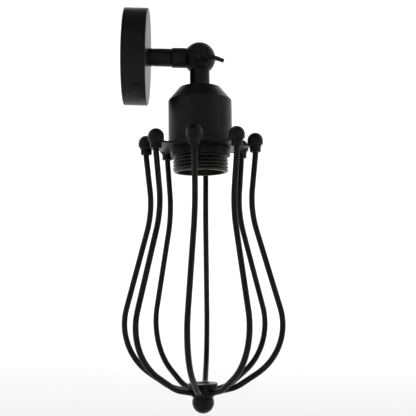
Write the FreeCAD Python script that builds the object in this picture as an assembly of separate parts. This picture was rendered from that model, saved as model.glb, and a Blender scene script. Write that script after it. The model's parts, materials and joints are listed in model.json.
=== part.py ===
"""Cage wall light: a wall rose, a short arm, a half-ball knuckle with a thumb lever,
a screw-shell lampholder and a balloon cage of eight bent rods. Millimetres.

Frame: origin at the middle of the rose's back plane, on the wall. +X leaves the wall,
+Z is up. The arm runs along +X. The lamp head is built plumb about its own pivot, with
the pivot at (0, 0, 0), and is then leaned out and moved to the end of the arm.
"""
import FreeCAD, Part
import math
import os

V = FreeCAD.Vector
ORIGIN = V(0, 0, 0)
X_AXIS = V(1, 0, 0)
Y_AXIS = V(0, 1, 0)
Z_AXIS = V(0, 0, 1)
FULL_TURN = 360.0

# ---- Fits and gaps -------------------------------------------------------------------
THREAD_GAP = 0.05          # radial play of a screw thread or a running shaft
HOLE_GAP = 0.25            # radial play of a plain clearance hole
MOVING_GAP = 0.35          # air between a turning piece and a piece it passes
OVERRUN = 1.0              # how far a cutting tool runs past the face it cuts
MATCH = 1e-3               # lengths closer than this are the same length

# ---- Wall rose -----------------------------------------------------------------------
ROSE_RADIUS = 35.0
ROSE_DEPTH = 17.0
ROSE_SHEET = 1.0
ROSE_EDGE_ROUND = 0.9

# ---- Mounting plate behind the rose --------------------------------------------------
MOUNT_PLATE_MARGIN = 3.0   # from the rose's inner wall to the plate's rim
MOUNT_SHEET = 1.5
MOUNT_EAR_WIDTH = 12.0
MOUNT_EAR_MARGIN = 3.5     # from a side screw's axis to its ear's end
WALL_SLOT_WIDTH = 4.5
WALL_SLOT_LENGTH = 11.0
WALL_SLOT_MARGIN = 2.5     # from a slot's outer end to the plate's rim
GROMMET_BORE_RADIUS = 3.6
GROMMET_WALL = 1.4
GROMMET_LIP = 1.6
GROMMET_LIP_THICKNESS = 1.2
GROMMET_NECK_GAP = 0.1

# ---- Rose side screws, M3 ------------------------------------------------------------
SIDE_SCREW_RADIUS = 1.5
SIDE_SCREW_HEAD_RADIUS = 2.3
SIDE_SCREW_HEAD_HEIGHT = 1.1
SIDE_SCREW_LENGTH = 5.0
SIDE_SCREW_FROM_FACE = 6.0 # from the rose's front face
SIDE_SCREW_TURN = 49.0     # from the -Y side down, and the same on the other side up

# ---- Supply terminals inside the rose ------------------------------------------------
BLOCK_LENGTH = 18.0
BLOCK_WIDTH = 10.0
BLOCK_HEIGHT = 9.0
BLOCK_INSET = 11.0         # from the plate's rim to the block's middle
BLOCK_POLE_SPACING = 9.0
BLOCK_SLEEVE_RADIUS = 2.2
BLOCK_WIRE_RADIUS = 1.4
BLOCK_SCREW_RADIUS = 1.2
BLOCK_SCREW_INSET = 2.4
EARTH_SCREW_INSET = 10.0   # from the plate's rim
EARTH_SCREW_RADIUS = 2.0
EARTH_SCREW_HEAD_RADIUS = 3.6
EARTH_SCREW_HEAD_HEIGHT = 2.2
EARTH_WASHER_RADIUS = 4.4
EARTH_WASHER_THICKNESS = 0.8
SLOT_CUT_WIDTH = 0.9       # driver slot in every screw head
SLOT_CUT_DEPTH = 0.8

# ---- Hollow M10 x 1 nipples and their nuts -------------------------------------------
NIPPLE_RADIUS = 5.0
NIPPLE_BORE_RADIUS = 3.6
NIPPLE_PROUD = 1.5         # nipple beyond its nut
NIPPLE_GRIP = 8.0          # nipple inside the knuckle's collar
NUT_ACROSS_FLATS = 14.0
NUT_HEIGHT = 3.6
WASHER_RADIUS = 8.4
WASHER_THICKNESS = 0.8

# ---- Arm -----------------------------------------------------------------------------
ARM_TUBE_RADIUS = 6.5
ARM_TUBE_LENGTH = 16.8
ARM_GROOVE_FROM_ROSE = 3.4
ARM_GROOVE_WIDTH = 0.7
ARM_GROOVE_DEPTH = 0.35
ARM_TUBE_CHAMFER = 0.4

# ---- Knuckle: two half balls on one cross screw --------------------------------------
BALL_RADIUS = 11.65
BALL_WALL = 2.2
BALL_FLAT_CUT = 2.45       # how far the flat on each cheek is cut back
BALL_FLAT_WALL = 2.0
BALL_FACE_GAP = 0.5        # between the two half balls
FRICTION_WASHER_THICKNESS = 0.4
COLLAR_RADIUS = 7.25
COLLAR_LENGTH = 8.65       # ball to the arm collar's end
NECK_RADIUS = 7.2
NECK_LENGTH = 10.0         # ball to the lamp neck's end
COLLAR_CHAMFER = 0.8
BOSS_RADIUS = 4.0
PIVOT_SCREW_RADIUS = 2.5
PIVOT_NUT_ACROSS_FLATS = 8.0
PIVOT_NUT_HEIGHT = 4.0
PIVOT_NUT_DOME_RADIUS = 3.6
PIVOT_NUT_BLIND_END = 1.2

# ---- Thumb lever on the cross screw --------------------------------------------------
LEVER_HUB_RADIUS = 4.6
LEVER_HUB_HEIGHT = 3.4
LEVER_HUB_GAP = 0.1        # axial play between the lever's hub and the ball's flat
LEVER_LENGTH = 18.3
LEVER_TAIL = 4.0
LEVER_THICKNESS = 2.6
LEVER_TIP_RISE = 5.0       # how far the blade's outer edge stands off the hub's face
LEVER_BLADE_ROOT_RISE = 2.4
LEVER_BLADE_TIP_WIDTH = 5.0
LEVER_ANGLE = -18.0        # from +X, in the plane of the tilt
LEVER_ROUND = 0.9

# ---- Lampholder cap ------------------------------------------------------------------
CAP_TOP_RADIUS = 14.65
CAP_RADIUS = 22.9
CAP_SHOULDER_DROP = 9.8
CAP_HEIGHT = 40.6
CAP_WALL = 1.5
CAP_EDGE_ROUND = 1.0

# ---- Lampholder body with its M40 x 2.5 outer thread ---------------------------------
FLANGE_LIP = 2.4           # flange beyond the cap
FLANGE_THICKNESS = 2.2
FLANGE_EDGE_ROUND = 0.5
SPIGOT_HEIGHT = 10.5       # length screwed up into the cap
SKIRT_THREAD_RADIUS = 20.0
SKIRT_THREAD_DEPTH = 1.3
SKIRT_THREAD_PITCH = 2.5
SKIRT_THREAD_CREST = 0.5
SKIRT_LENGTH = 19.2        # flange to the mouth
SKIRT_WALL = 1.7           # under the thread's root

# ---- Lamp contacts -------------------------------------------------------------------
INSULATOR_RIM_GAP = 1.0    # inside the cap
INSULATOR_RIM_THICKNESS = 2.0
INSULATOR_PLUG_HEIGHT = 4.0
INSULATOR_PLUG_GAP = 0.1
SHELL_BORE_RADIUS = 13.3
SHELL_SHEET = 0.5
SHELL_DEPTH = 22.5
SHELL_SEAT_WIDTH = 3.1
LEAF_THICKNESS = 0.5
LEAF_WIDTH = 5.0
LEAF_TIP = 3.5             # leaf's end beyond the lamp axis
LEAF_DROP = 1.9
LEAF_BEND_GAP = 0.1
LUG_LENGTH = 2.4
LUG_SEAT_GAP = 0.8         # between the lug and the shell's seat
RIVET_RADIUS = 0.9
RIVET_HEAD_RADIUS = 1.6
RIVET_HEAD_HEIGHT = 0.5
TERMINAL_SIDE = 5.0
TERMINAL_HEIGHT = 6.5
TERMINAL_SCREW_RADIUS = 1.5
TERMINAL_SCREW_HEAD_RADIUS = 2.2
TERMINAL_SCREW_HEAD_HEIGHT = 1.3
TERMINAL_SCREW_LENGTH = 3.0
SHELL_STRAP_WIDTH = 4.0

# ---- Cage plate and the ring that clamps it ------------------------------------------
CAGE_SHEET = 1.4
CAGE_PLATE_INSET = 7.4     # from the rods' circle in to the plate's rim
CAGE_EAR_MARGIN = 0.45     # ear beyond the nut under it
CAGE_EAR_FILLET = 3.0
LOCK_RING_WALL = 1.4
LOCK_RING_HEIGHT = 6.4
LOCK_RING_CHAMFER = 0.6

# ---- Cage rods -----------------------------------------------------------------------
# Each hand-bent rod swings a few degrees about the chord from its nut to its hub socket.
ROD_SWAY = (5.8, 9.1, -2.0, 7.0, -3.1, 1.1, 5.1, 0.8)
ROD_TURN = -6.0            # azimuth of the first rod, measured from the -Y side
ROD_RADIUS = 2.05
ROD_CIRCLE = 39.4          # lamp axis to a rod at the plate
ROD_NECK_GAP = 2.0         # straight rod below the under nut
ROD_NECK_BEND = 30.0
ROD_WAIST_INSET = 4.2      # waist corner, inside the rods' circle
ROD_WAIST_DROP = 41.3      # waist corner below the under nut
ROD_WAIST_BEND = 78.0
ROD_BULGE_OUTSET = 23.9    # bulge corner, outside the rods' circle
ROD_BULGE_RISE = 32.3      # bulge corner above the hub's under face
ROD_BULGE_BEND = 41.0
ROD_FOOT_OUTSET = 13.0     # foot corner, outside the hub
ROD_FOOT_RISE = 6.5        # foot corner above the hub's under face
ROD_FOOT_BEND = 26.0
ROD_END_RISE = 3.0         # rod's end above the hub's under face
ROD_SOCKET_DEPTH = 3.2     # rod inside the hub
BALL_NUT_RADIUS = 5.6
BALL_NUT_STAND = 3.1       # ball nut's centre above the plate
BALL_NUT_GRIP = 4.2        # rod inside the ball nut
UNDER_NUT_WALL = 1.95
UNDER_NUT_HEIGHT = 4.0
UNDER_NUT_CHAMFER = 0.5

# ---- Hub and finial ------------------------------------------------------------------
HUB_RADIUS = 10.3
HUB_HEIGHT = 9.6
HUB_CHAMFER = 0.7
HUB_DRAFT = 0.8            # how far the wall leans in from the top to the taper
HUB_TAPER_HEIGHT = 3.4
HUB_FOOT_RADIUS = 7.6
CAGE_DROP = 171.9          # under nut's foot to the hub's under face
FINIAL_RADIUS = 7.7
FINIAL_SINK = 4.0          # flat cut off the top of the ball
FINIAL_SCREW_RADIUS = 2.5
FINIAL_SCREW_HEAD_RADIUS = 4.4
FINIAL_SCREW_HEAD_HEIGHT = 2.6
FINIAL_SCREW_GRIP = 7.5    # screw inside the finial

# ---- Pose ----------------------------------------------------------------------------
REST_LEAN = 1.8            # head's lean away from the wall, which keeps the cage off it

# ---- Radii and offsets that follow from the sizes above ------------------------------
ROSE_INNER_RADIUS = ROSE_RADIUS - ROSE_SHEET
MOUNT_PLATE_RADIUS = ROSE_INNER_RADIUS - MOUNT_PLATE_MARGIN
WALL_SLOT_SPACING = 2.0 * (MOUNT_PLATE_RADIUS - WALL_SLOT_MARGIN) - WALL_SLOT_LENGTH
BLOCK_CENTRE_Z = MOUNT_PLATE_RADIUS - BLOCK_INSET
EARTH_SCREW_CENTRE_Z = EARTH_SCREW_INSET - MOUNT_PLATE_RADIUS
GROMMET_NECK_RADIUS = GROMMET_BORE_RADIUS + GROMMET_WALL
BALL_FLAT = BALL_RADIUS - BALL_FLAT_CUT
COLLAR_REACH = BALL_RADIUS + COLLAR_LENGTH
NECK_REACH = BALL_RADIUS + NECK_LENGTH
CAP_INNER_RADIUS = CAP_RADIUS - CAP_WALL
FLANGE_RADIUS = CAP_RADIUS + FLANGE_LIP
SKIRT_BORE_RADIUS = SKIRT_THREAD_RADIUS - SKIRT_THREAD_DEPTH - SKIRT_WALL
INSULATOR_RIM_RADIUS = CAP_INNER_RADIUS - INSULATOR_RIM_GAP
SHELL_SEAT_INNER_RADIUS = SHELL_BORE_RADIUS - SHELL_SEAT_WIDTH
LUG_END = SHELL_SEAT_INNER_RADIUS - LUG_SEAT_GAP
LEAF_ROOT = LUG_END - LUG_LENGTH - LEAF_BEND_GAP
RIVET_X = LUG_LENGTH / 2.0 - LUG_END
TERMINAL_OFFSET = -RIVET_X
ROD_COUNT = len(ROD_SWAY)
CAGE_PLATE_RADIUS = ROD_CIRCLE - CAGE_PLATE_INSET
UNDER_NUT_RADIUS = ROD_RADIUS + UNDER_NUT_WALL
CAGE_EAR_RADIUS = UNDER_NUT_RADIUS + CAGE_EAR_MARGIN
LOCK_RING_RADIUS = SKIRT_THREAD_RADIUS + LOCK_RING_WALL

# ---- Levels along the lamp axis, from the pivot down ---------------------------------
NECK_END = -NECK_REACH
CAP_TOP = NECK_END
CAP_SHOULDER = CAP_TOP - CAP_SHOULDER_DROP
CAP_FOOT = CAP_TOP - CAP_HEIGHT
FLANGE_FOOT = CAP_FOOT - FLANGE_THICKNESS
SPIGOT_TOP = CAP_FOOT + SPIGOT_HEIGHT
SKIRT_FOOT = FLANGE_FOOT - SKIRT_LENGTH
PLATE_TOP = FLANGE_FOOT
PLATE_FOOT = PLATE_TOP - CAGE_SHEET
UNDER_NUT_FOOT = PLATE_FOOT - UNDER_NUT_HEIGHT
BALL_NUT_CENTRE = PLATE_TOP + BALL_NUT_STAND
HUB_FOOT = UNDER_NUT_FOOT - CAGE_DROP
HUB_TOP = HUB_FOOT + HUB_HEIGHT
FINIAL_CENTRE = HUB_FOOT - (FINIAL_RADIUS - FINIAL_SINK)
INSULATOR_FACE = SPIGOT_TOP - INSULATOR_PLUG_HEIGHT

# ---- Levels along the arm, from the wall out -----------------------------------------
ROSE_FACE_INSIDE = ROSE_DEPTH - ROSE_SHEET
ARM_END = ROSE_DEPTH + ARM_TUBE_LENGTH
PIVOT_X = ARM_END + COLLAR_REACH
SIDE_SCREW_X = ROSE_DEPTH - SIDE_SCREW_FROM_FACE
MOUNT_EAR_HEIGHT = SIDE_SCREW_X + MOUNT_EAR_MARGIN


# ---- Shape helpers -------------------------------------------------------------------
def rod_between(radius, start, end):
    """Round bar from one point to another."""
    line = end.sub(start)
    return Part.makeCylinder(radius, line.Length, start, line)


def bar_x(radius, low, high, y=0.0, z=0.0):
    return rod_between(radius, V(low, y, z), V(high, y, z))


def bar_y(radius, low, high, x=0.0, z=0.0):
    return rod_between(radius, V(x, low, z), V(x, high, z))


def bar_z(radius, low, high, x=0.0, y=0.0):
    return rod_between(radius, V(x, y, low), V(x, y, high))


def block(low, high):
    """Box between two opposite corners."""
    size = high.sub(low)
    return Part.makeBox(size.x, size.y, size.z, low)


def turned(profile):
    """Solid of revolution about Z from (radius, height) corners."""
    corners = [V(radius, 0, height) for radius, height in profile]
    face = Part.Face(Part.makePolygon(corners + corners[:1]))
    return face.revolve(ORIGIN, Z_AXIS, FULL_TURN)


def laid_along_x(shape):
    """Turn a shape built about Z so that its axis lies on X and its top faces +X."""
    moved = shape.copy()
    moved.rotate(ORIGIN, Y_AXIS, 90.0)
    return moved


def laid_along_y(shape, direction):
    """Turn a shape built about Z so that its top faces +Y or -Y."""
    moved = shape.copy()
    moved.rotate(ORIGIN, X_AXIS, -90.0 * direction)
    return moved


def hexagon_prism(across_flats, low, high):
    corner_radius = across_flats / 2.0 / math.cos(math.radians(30.0))
    corners = []
    for step in range(6):
        angle = math.radians(60.0 * step)
        corners.append(V(corner_radius * math.cos(angle), corner_radius * math.sin(angle), low))
    face = Part.Face(Part.makePolygon(corners + corners[:1]))
    return face.extrude(V(0, 0, high - low))


def round_edges(shape, radius, wanted):
    """Fillet the edges that a test picks."""
    edges = [edge for edge in shape.Edges if wanted(edge)]
    return shape.makeFillet(radius, edges)


def is_circle_at(radius, height):
    """Test for a full circle about Z of a given radius and height."""
    def test(edge):
        if edge.Curve.TypeId != "Part::GeomCircle":
            return False
        same_size = abs(edge.Curve.Radius - radius) < MATCH
        same_place = abs(edge.Curve.Center.z - height) < MATCH
        return same_size and same_place
    return test


def hexagon_nut(low, high):
    """M10 nut with both faces' corners turned off."""
    nut = hexagon_prism(NUT_ACROSS_FLATS, low, high)
    corner_radius = NUT_ACROSS_FLATS / 2.0 / math.cos(math.radians(30.0))
    rim = NUT_ACROSS_FLATS / 2.0
    bevel = (corner_radius - rim) * math.tan(math.radians(30.0))
    envelope = turned([(0, low), (rim, low), (corner_radius, low + bevel),
                       (corner_radius, high - bevel), (rim, high), (0, high)])
    bore = bar_z(NIPPLE_RADIUS + THREAD_GAP, low - OVERRUN, high + OVERRUN)
    return nut.common(envelope).cut(bore)


def slotted_screw(radius, length, head_radius, head_height):
    """Domed screw about Z: the shank hangs below z = 0 and the head stands above it."""
    dome_radius = (head_radius ** 2 + head_height ** 2) / (2.0 * head_height)
    dome = Part.makeSphere(dome_radius, V(0, 0, head_height - dome_radius))
    head = dome.common(bar_z(head_radius, 0, head_height + OVERRUN))
    slot = block(V(-head_radius - OVERRUN, -SLOT_CUT_WIDTH / 2.0, head_height - SLOT_CUT_DEPTH),
                 V(head_radius + OVERRUN, SLOT_CUT_WIDTH / 2.0, head_height + OVERRUN))
    return head.cut(slot).fuse(bar_z(radius, -length, 0)).removeSplitter()


def moved(shape, offset):
    copy = shape.copy()
    copy.translate(offset)
    return copy


# ---- Wall side -----------------------------------------------------------------------
def side_turned(shape):
    """Turn a shape built on the Y line on to the line of the two side screws."""
    copy = shape.copy()
    copy.rotate(ORIGIN, X_AXIS, SIDE_SCREW_TURN)
    return copy


def side_screw_seat():
    """Distance of a screw head's flat seat from the rose's middle."""
    return math.sqrt(ROSE_RADIUS ** 2 - SIDE_SCREW_HEAD_RADIUS ** 2)


def rose_cover():
    cup = turned([(0, 0), (ROSE_RADIUS, 0), (ROSE_RADIUS, ROSE_DEPTH), (0, ROSE_DEPTH)])
    cup = round_edges(cup, ROSE_EDGE_ROUND, is_circle_at(ROSE_RADIUS, ROSE_DEPTH))
    cup = cup.cut(bar_z(ROSE_INNER_RADIUS, -OVERRUN, ROSE_FACE_INSIDE))
    cup = cup.cut(bar_z(NIPPLE_RADIUS + THREAD_GAP, 0, ROSE_DEPTH + OVERRUN))
    cup = laid_along_x(cup)
    for side in (-1, 1):
        hole = bar_y(SIDE_SCREW_RADIUS + THREAD_GAP, 0, side * (ROSE_RADIUS + OVERRUN), SIDE_SCREW_X)
        seat = bar_y(SIDE_SCREW_HEAD_RADIUS + HOLE_GAP, side * side_screw_seat(),
                     side * (ROSE_RADIUS + OVERRUN), SIDE_SCREW_X)
        cup = cup.cut([side_turned(hole), side_turned(seat)])
    return cup


def mount_ear_face():
    """Distance of an ear's outer face from the middle, so that its corners clear the rose."""
    clear_radius = ROSE_INNER_RADIUS - HOLE_GAP
    return math.sqrt(clear_radius ** 2 - (MOUNT_EAR_WIDTH / 2.0) ** 2)


def wall_slot(side):
    """Slot along Y for a wall screw."""
    half_run = (WALL_SLOT_LENGTH - WALL_SLOT_WIDTH) / 2.0
    radius = WALL_SLOT_WIDTH / 2.0
    middle = side * WALL_SLOT_SPACING / 2.0
    ends = [bar_x(radius, -OVERRUN, MOUNT_SHEET + OVERRUN, middle + shift)
            for shift in (-half_run, half_run)]
    run = block(V(-OVERRUN, middle - half_run, -radius),
                V(MOUNT_SHEET + OVERRUN, middle + half_run, radius))
    return run.fuse(ends)


def mounting_plate():
    """Steel disc with two slots for wall screws and two ears bent out to the side screws."""
    plate = bar_x(MOUNT_PLATE_RADIUS, 0, MOUNT_SHEET)
    ear_face = mount_ear_face()
    half_width = MOUNT_EAR_WIDTH / 2.0
    for side in (-1, 1):
        inner = side * (ear_face - MOUNT_SHEET)
        outer = side * ear_face
        foot = block(V(0, min(0, outer), -half_width), V(MOUNT_SHEET, max(0, outer), half_width))
        ear = block(V(0, min(inner, outer), -half_width),
                    V(MOUNT_EAR_HEIGHT, max(inner, outer), half_width))
        hole = bar_y(SIDE_SCREW_RADIUS + THREAD_GAP, min(inner, outer) - OVERRUN,
                     max(inner, outer) + OVERRUN, SIDE_SCREW_X)
        plate = plate.fuse([side_turned(foot), side_turned(ear)]).removeSplitter()
        plate = plate.cut(side_turned(hole))
    cuts = [wall_slot(-1), wall_slot(1)]
    cuts.append(bar_x(GROMMET_NECK_RADIUS + GROMMET_NECK_GAP, -OVERRUN, MOUNT_SHEET + OVERRUN))
    cuts.append(bar_x(EARTH_SCREW_RADIUS + THREAD_GAP, -OVERRUN, MOUNT_SHEET + OVERRUN,
                      0, EARTH_SCREW_CENTRE_Z))
    return plate.cut(cuts)


def rose_side_screws():
    screw = slotted_screw(SIDE_SCREW_RADIUS, SIDE_SCREW_LENGTH, SIDE_SCREW_HEAD_RADIUS,
                          SIDE_SCREW_HEAD_HEIGHT)
    screws = [moved(laid_along_y(screw, side), V(SIDE_SCREW_X, side * side_screw_seat(), 0))
              for side in (-1, 1)]
    return Part.makeCompound([side_turned(shape) for shape in screws])


def cable_grommet():
    """Rubber ring in the plate's middle: its lip lies on the plate's front face."""
    lip_radius = GROMMET_NECK_RADIUS + GROMMET_LIP
    lip_end = MOUNT_SHEET + GROMMET_LIP_THICKNESS
    ring = turned([(GROMMET_BORE_RADIUS, 0), (GROMMET_NECK_RADIUS, 0),
                   (GROMMET_NECK_RADIUS, MOUNT_SHEET), (lip_radius, MOUNT_SHEET),
                   (lip_radius, lip_end), (GROMMET_BORE_RADIUS, lip_end)])
    return laid_along_x(ring)


def pole_centres():
    return [side * BLOCK_POLE_SPACING / 2.0 for side in (-1, 1)]


def block_sleeve_x():
    return MOUNT_SHEET + BLOCK_HEIGHT / 2.0


def terminal_sleeves():
    """Brass wire sleeves of the supply block, lying along Z."""
    half = BLOCK_WIDTH / 2.0 - HOLE_GAP
    sleeves = []
    for y in pole_centres():
        sleeve = bar_z(BLOCK_SLEEVE_RADIUS, BLOCK_CENTRE_Z - half, BLOCK_CENTRE_Z + half,
                       block_sleeve_x(), y)
        wire_way = bar_z(BLOCK_WIRE_RADIUS, BLOCK_CENTRE_Z - BLOCK_WIDTH,
                         BLOCK_CENTRE_Z + BLOCK_WIDTH, block_sleeve_x(), y)
        sleeves.append(sleeve.cut(wire_way).cut(block_screw_holes(y, THREAD_GAP)))
    return Part.makeCompound(sleeves)


def block_screw_heights():
    inset = BLOCK_WIDTH / 2.0 - BLOCK_SCREW_INSET
    return [BLOCK_CENTRE_Z - inset, BLOCK_CENTRE_Z + inset]


def block_screw_holes(y, gap):
    top = MOUNT_SHEET + BLOCK_HEIGHT + OVERRUN
    return [bar_x(BLOCK_SCREW_RADIUS + gap, block_sleeve_x(), top, y, z)
            for z in block_screw_heights()]


def terminal_block():
    half_length = BLOCK_LENGTH / 2.0
    half_width = BLOCK_WIDTH / 2.0
    body = block(V(MOUNT_SHEET, -half_length, BLOCK_CENTRE_Z - half_width),
                 V(MOUNT_SHEET + BLOCK_HEIGHT, half_length, BLOCK_CENTRE_Z + half_width))
    for y in pole_centres():
        body = body.cut(bar_z(BLOCK_SLEEVE_RADIUS, BLOCK_CENTRE_Z - BLOCK_WIDTH,
                              BLOCK_CENTRE_Z + BLOCK_WIDTH, block_sleeve_x(), y))
        body = body.cut(block_screw_holes(y, HOLE_GAP))
    return body


def terminal_block_screws():
    """Grub screws that clamp the supply wires, two to a pole."""
    tip = block_sleeve_x() + BLOCK_WIRE_RADIUS
    head = MOUNT_SHEET + BLOCK_HEIGHT - SLOT_CUT_DEPTH
    screws = []
    for y in pole_centres():
        for z in block_screw_heights():
            screw = bar_x(BLOCK_SCREW_RADIUS, tip, head, y, z)
            slot = block(V(head - SLOT_CUT_DEPTH, y - BLOCK_WIDTH, z - SLOT_CUT_WIDTH / 4.0),
                         V(head + OVERRUN, y + BLOCK_WIDTH, z + SLOT_CUT_WIDTH / 4.0))
            screws.append(screw.cut(slot))
    return Part.makeCompound(screws)


def earth_screw():
    screw = slotted_screw(EARTH_SCREW_RADIUS, MOUNT_SHEET + EARTH_WASHER_THICKNESS,
                          EARTH_SCREW_HEAD_RADIUS, EARTH_SCREW_HEAD_HEIGHT)
    seat = MOUNT_SHEET + EARTH_WASHER_THICKNESS
    return moved(laid_along_x(screw), V(seat, 0, EARTH_SCREW_CENTRE_Z))


def earth_washer():
    ring = bar_x(EARTH_WASHER_RADIUS, MOUNT_SHEET, MOUNT_SHEET + EARTH_WASHER_THICKNESS,
                 0, EARTH_SCREW_CENTRE_Z)
    return ring.cut(bar_x(EARTH_SCREW_RADIUS + THREAD_GAP, 0, ROSE_DEPTH, 0,
                          EARTH_SCREW_CENTRE_Z))


def arm_washer():
    low = ROSE_FACE_INSIDE - WASHER_THICKNESS
    ring = bar_x(WASHER_RADIUS, low, ROSE_FACE_INSIDE)
    return ring.cut(bar_x(NIPPLE_RADIUS + THREAD_GAP, low - OVERRUN, ROSE_DEPTH))


def arm_nut():
    high = ROSE_FACE_INSIDE - WASHER_THICKNESS
    return laid_along_x(hexagon_nut(high - NUT_HEIGHT, high))


def arm_nipple():
    low = ROSE_FACE_INSIDE - WASHER_THICKNESS - NUT_HEIGHT - NIPPLE_PROUD
    high = ARM_END + NIPPLE_GRIP
    return bar_x(NIPPLE_RADIUS, low, high).cut(bar_x(NIPPLE_BORE_RADIUS, low - OVERRUN,
                                                     high + OVERRUN))


def arm_tube():
    low = ROSE_DEPTH
    groove = low + ARM_GROOVE_FROM_ROSE
    bore = NIPPLE_RADIUS + THREAD_GAP
    floor = ARM_TUBE_RADIUS - ARM_GROOVE_DEPTH
    tube = turned([(bore, low), (ARM_TUBE_RADIUS - ARM_TUBE_CHAMFER, low),
                   (ARM_TUBE_RADIUS, low + ARM_TUBE_CHAMFER), (ARM_TUBE_RADIUS, groove),
                   (floor, groove), (floor, groove + ARM_GROOVE_WIDTH),
                   (ARM_TUBE_RADIUS, groove + ARM_GROOVE_WIDTH), (ARM_TUBE_RADIUS, ARM_END),
                   (bore, ARM_END)])
    return laid_along_x(tube)


# ---- Knuckle, built about the pivot --------------------------------------------------
def half_ball(side, collar_radius, reach):
    """Hollow half ball on one side of Y, with its collar hanging down Z."""
    size = 2.0 * (BALL_RADIUS + reach)
    face = side * BALL_FACE_GAP / 2.0
    flat = side * BALL_FLAT
    inner_flat = side * (BALL_FLAT - BALL_FLAT_WALL)
    cheek = block(V(-size, min(face, flat), -size), V(size, max(face, flat), size))
    hollow = block(V(-size, min(face - side * BALL_RADIUS, inner_flat), -size),
                   V(size, max(face - side * BALL_RADIUS, inner_flat), size))
    other_side = block(V(-size, min(face, -side * size), -size),
                       V(size, max(face, -side * size), size))
    ball = Part.makeSphere(BALL_RADIUS).common(cheek)
    collar = turned([(0, 0), (collar_radius, 0), (collar_radius, COLLAR_CHAMFER - reach),
                     (collar_radius - COLLAR_CHAMFER, -reach), (0, -reach)])
    swept = Part.makeSphere(BALL_RADIUS + MOVING_GAP).common(other_side)
    cavity = Part.makeSphere(BALL_RADIUS - BALL_WALL).common(hollow)
    wire_way = bar_z(NIPPLE_RADIUS + THREAD_GAP, -reach - OVERRUN, -BOSS_RADIUS - OVERRUN)
    shell = ball.fuse(collar.cut(swept)).cut([cavity, wire_way])
    boss = bar_y(BOSS_RADIUS, min(face, flat), max(face, flat))
    cross_hole = bar_y(PIVOT_SCREW_RADIUS + THREAD_GAP, -size, size)
    return shell.fuse(boss).removeSplitter().cut(cross_hole)


def knuckle_fixed_half():
    half = half_ball(1, COLLAR_RADIUS, COLLAR_REACH)
    half.rotate(ORIGIN, Y_AXIS, 90.0)
    return half


def knuckle_moving_half():
    return half_ball(-1, NECK_RADIUS, NECK_REACH)


def friction_washer():
    face = BALL_FACE_GAP / 2.0
    low = face - FRICTION_WASHER_THICKNESS
    ring = bar_y(BALL_RADIUS - MOVING_GAP, low, face)
    return ring.cut(bar_y(BALL_RADIUS - BALL_WALL, low - OVERRUN, face + OVERRUN))


def pivot_nut():
    """Domed nut on the far cheek."""
    top = BALL_FLAT + PIVOT_NUT_HEIGHT
    nut = hexagon_prism(PIVOT_NUT_ACROSS_FLATS, BALL_FLAT, top)
    dome = Part.makeSphere(PIVOT_NUT_DOME_RADIUS, V(0, 0, top))
    lower_half = bar_z(PIVOT_NUT_ACROSS_FLATS, BALL_FLAT, top)
    nut = nut.fuse(dome.cut(lower_half)).removeSplitter()
    nut = nut.cut(bar_z(PIVOT_SCREW_RADIUS + THREAD_GAP, BALL_FLAT - OVERRUN,
                        top + PIVOT_NUT_BLIND_END))
    return laid_along_y(nut, 1)


def thumb_lever():
    """Cross screw with a one-sided thumb blade. Its axis is Y and the blade faces -Y."""
    hub_foot = BALL_FLAT + LEVER_HUB_GAP
    hub_top = hub_foot + LEVER_HUB_HEIGHT
    blade_top = hub_top + LEVER_TIP_RISE
    half = LEVER_THICKNESS / 2.0
    outline = [V(-LEVER_TAIL, -half, hub_foot + half), V(-LEVER_TAIL, -half, hub_top),
               V(0, -half, hub_top + LEVER_BLADE_ROOT_RISE),
               V(LEVER_LENGTH - LEVER_BLADE_TIP_WIDTH, -half, blade_top),
               V(LEVER_LENGTH, -half, blade_top - half),
               V(LEVER_LENGTH, -half, blade_top + half - LEVER_BLADE_TIP_WIDTH),
               V(LEVER_HUB_RADIUS + LEVER_TAIL, -half, hub_foot + LEVER_BLADE_ROOT_RISE),
               V(LEVER_HUB_RADIUS, -half, hub_foot + half)]
    blade = Part.Face(Part.makePolygon(outline + outline[:1])).extrude(V(0, LEVER_THICKNESS, 0))
    blade = round_edges(blade, LEVER_ROUND, lambda edge: edge.Length > LEVER_THICKNESS + MATCH)
    hub = bar_z(LEVER_HUB_RADIUS, hub_foot, hub_top)
    shank_end = BALL_FLAT + PIVOT_NUT_HEIGHT
    shank = bar_z(PIVOT_SCREW_RADIUS, -shank_end, hub_top)
    lever = hub.fuse([blade, shank]).removeSplitter()
    lever = laid_along_y(lever, -1)
    lever.rotate(ORIGIN, Y_AXIS, -LEVER_ANGLE)
    return lever


# ---- Lampholder, built plumb about the pivot -----------------------------------------
def head_nipple():
    low = CAP_TOP - CAP_WALL - WASHER_THICKNESS - NUT_HEIGHT - NIPPLE_PROUD
    high = NECK_END + NIPPLE_GRIP
    return bar_z(NIPPLE_RADIUS, low, high).cut(bar_z(NIPPLE_BORE_RADIUS, low - OVERRUN,
                                                     high + OVERRUN))


def cap_washer():
    high = CAP_TOP - CAP_WALL
    ring = bar_z(WASHER_RADIUS, high - WASHER_THICKNESS, high)
    return ring.cut(bar_z(NIPPLE_RADIUS + THREAD_GAP, high - OVERRUN, high + OVERRUN))


def cap_nut():
    high = CAP_TOP - CAP_WALL - WASHER_THICKNESS
    return hexagon_nut(high - NUT_HEIGHT, high)


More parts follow.
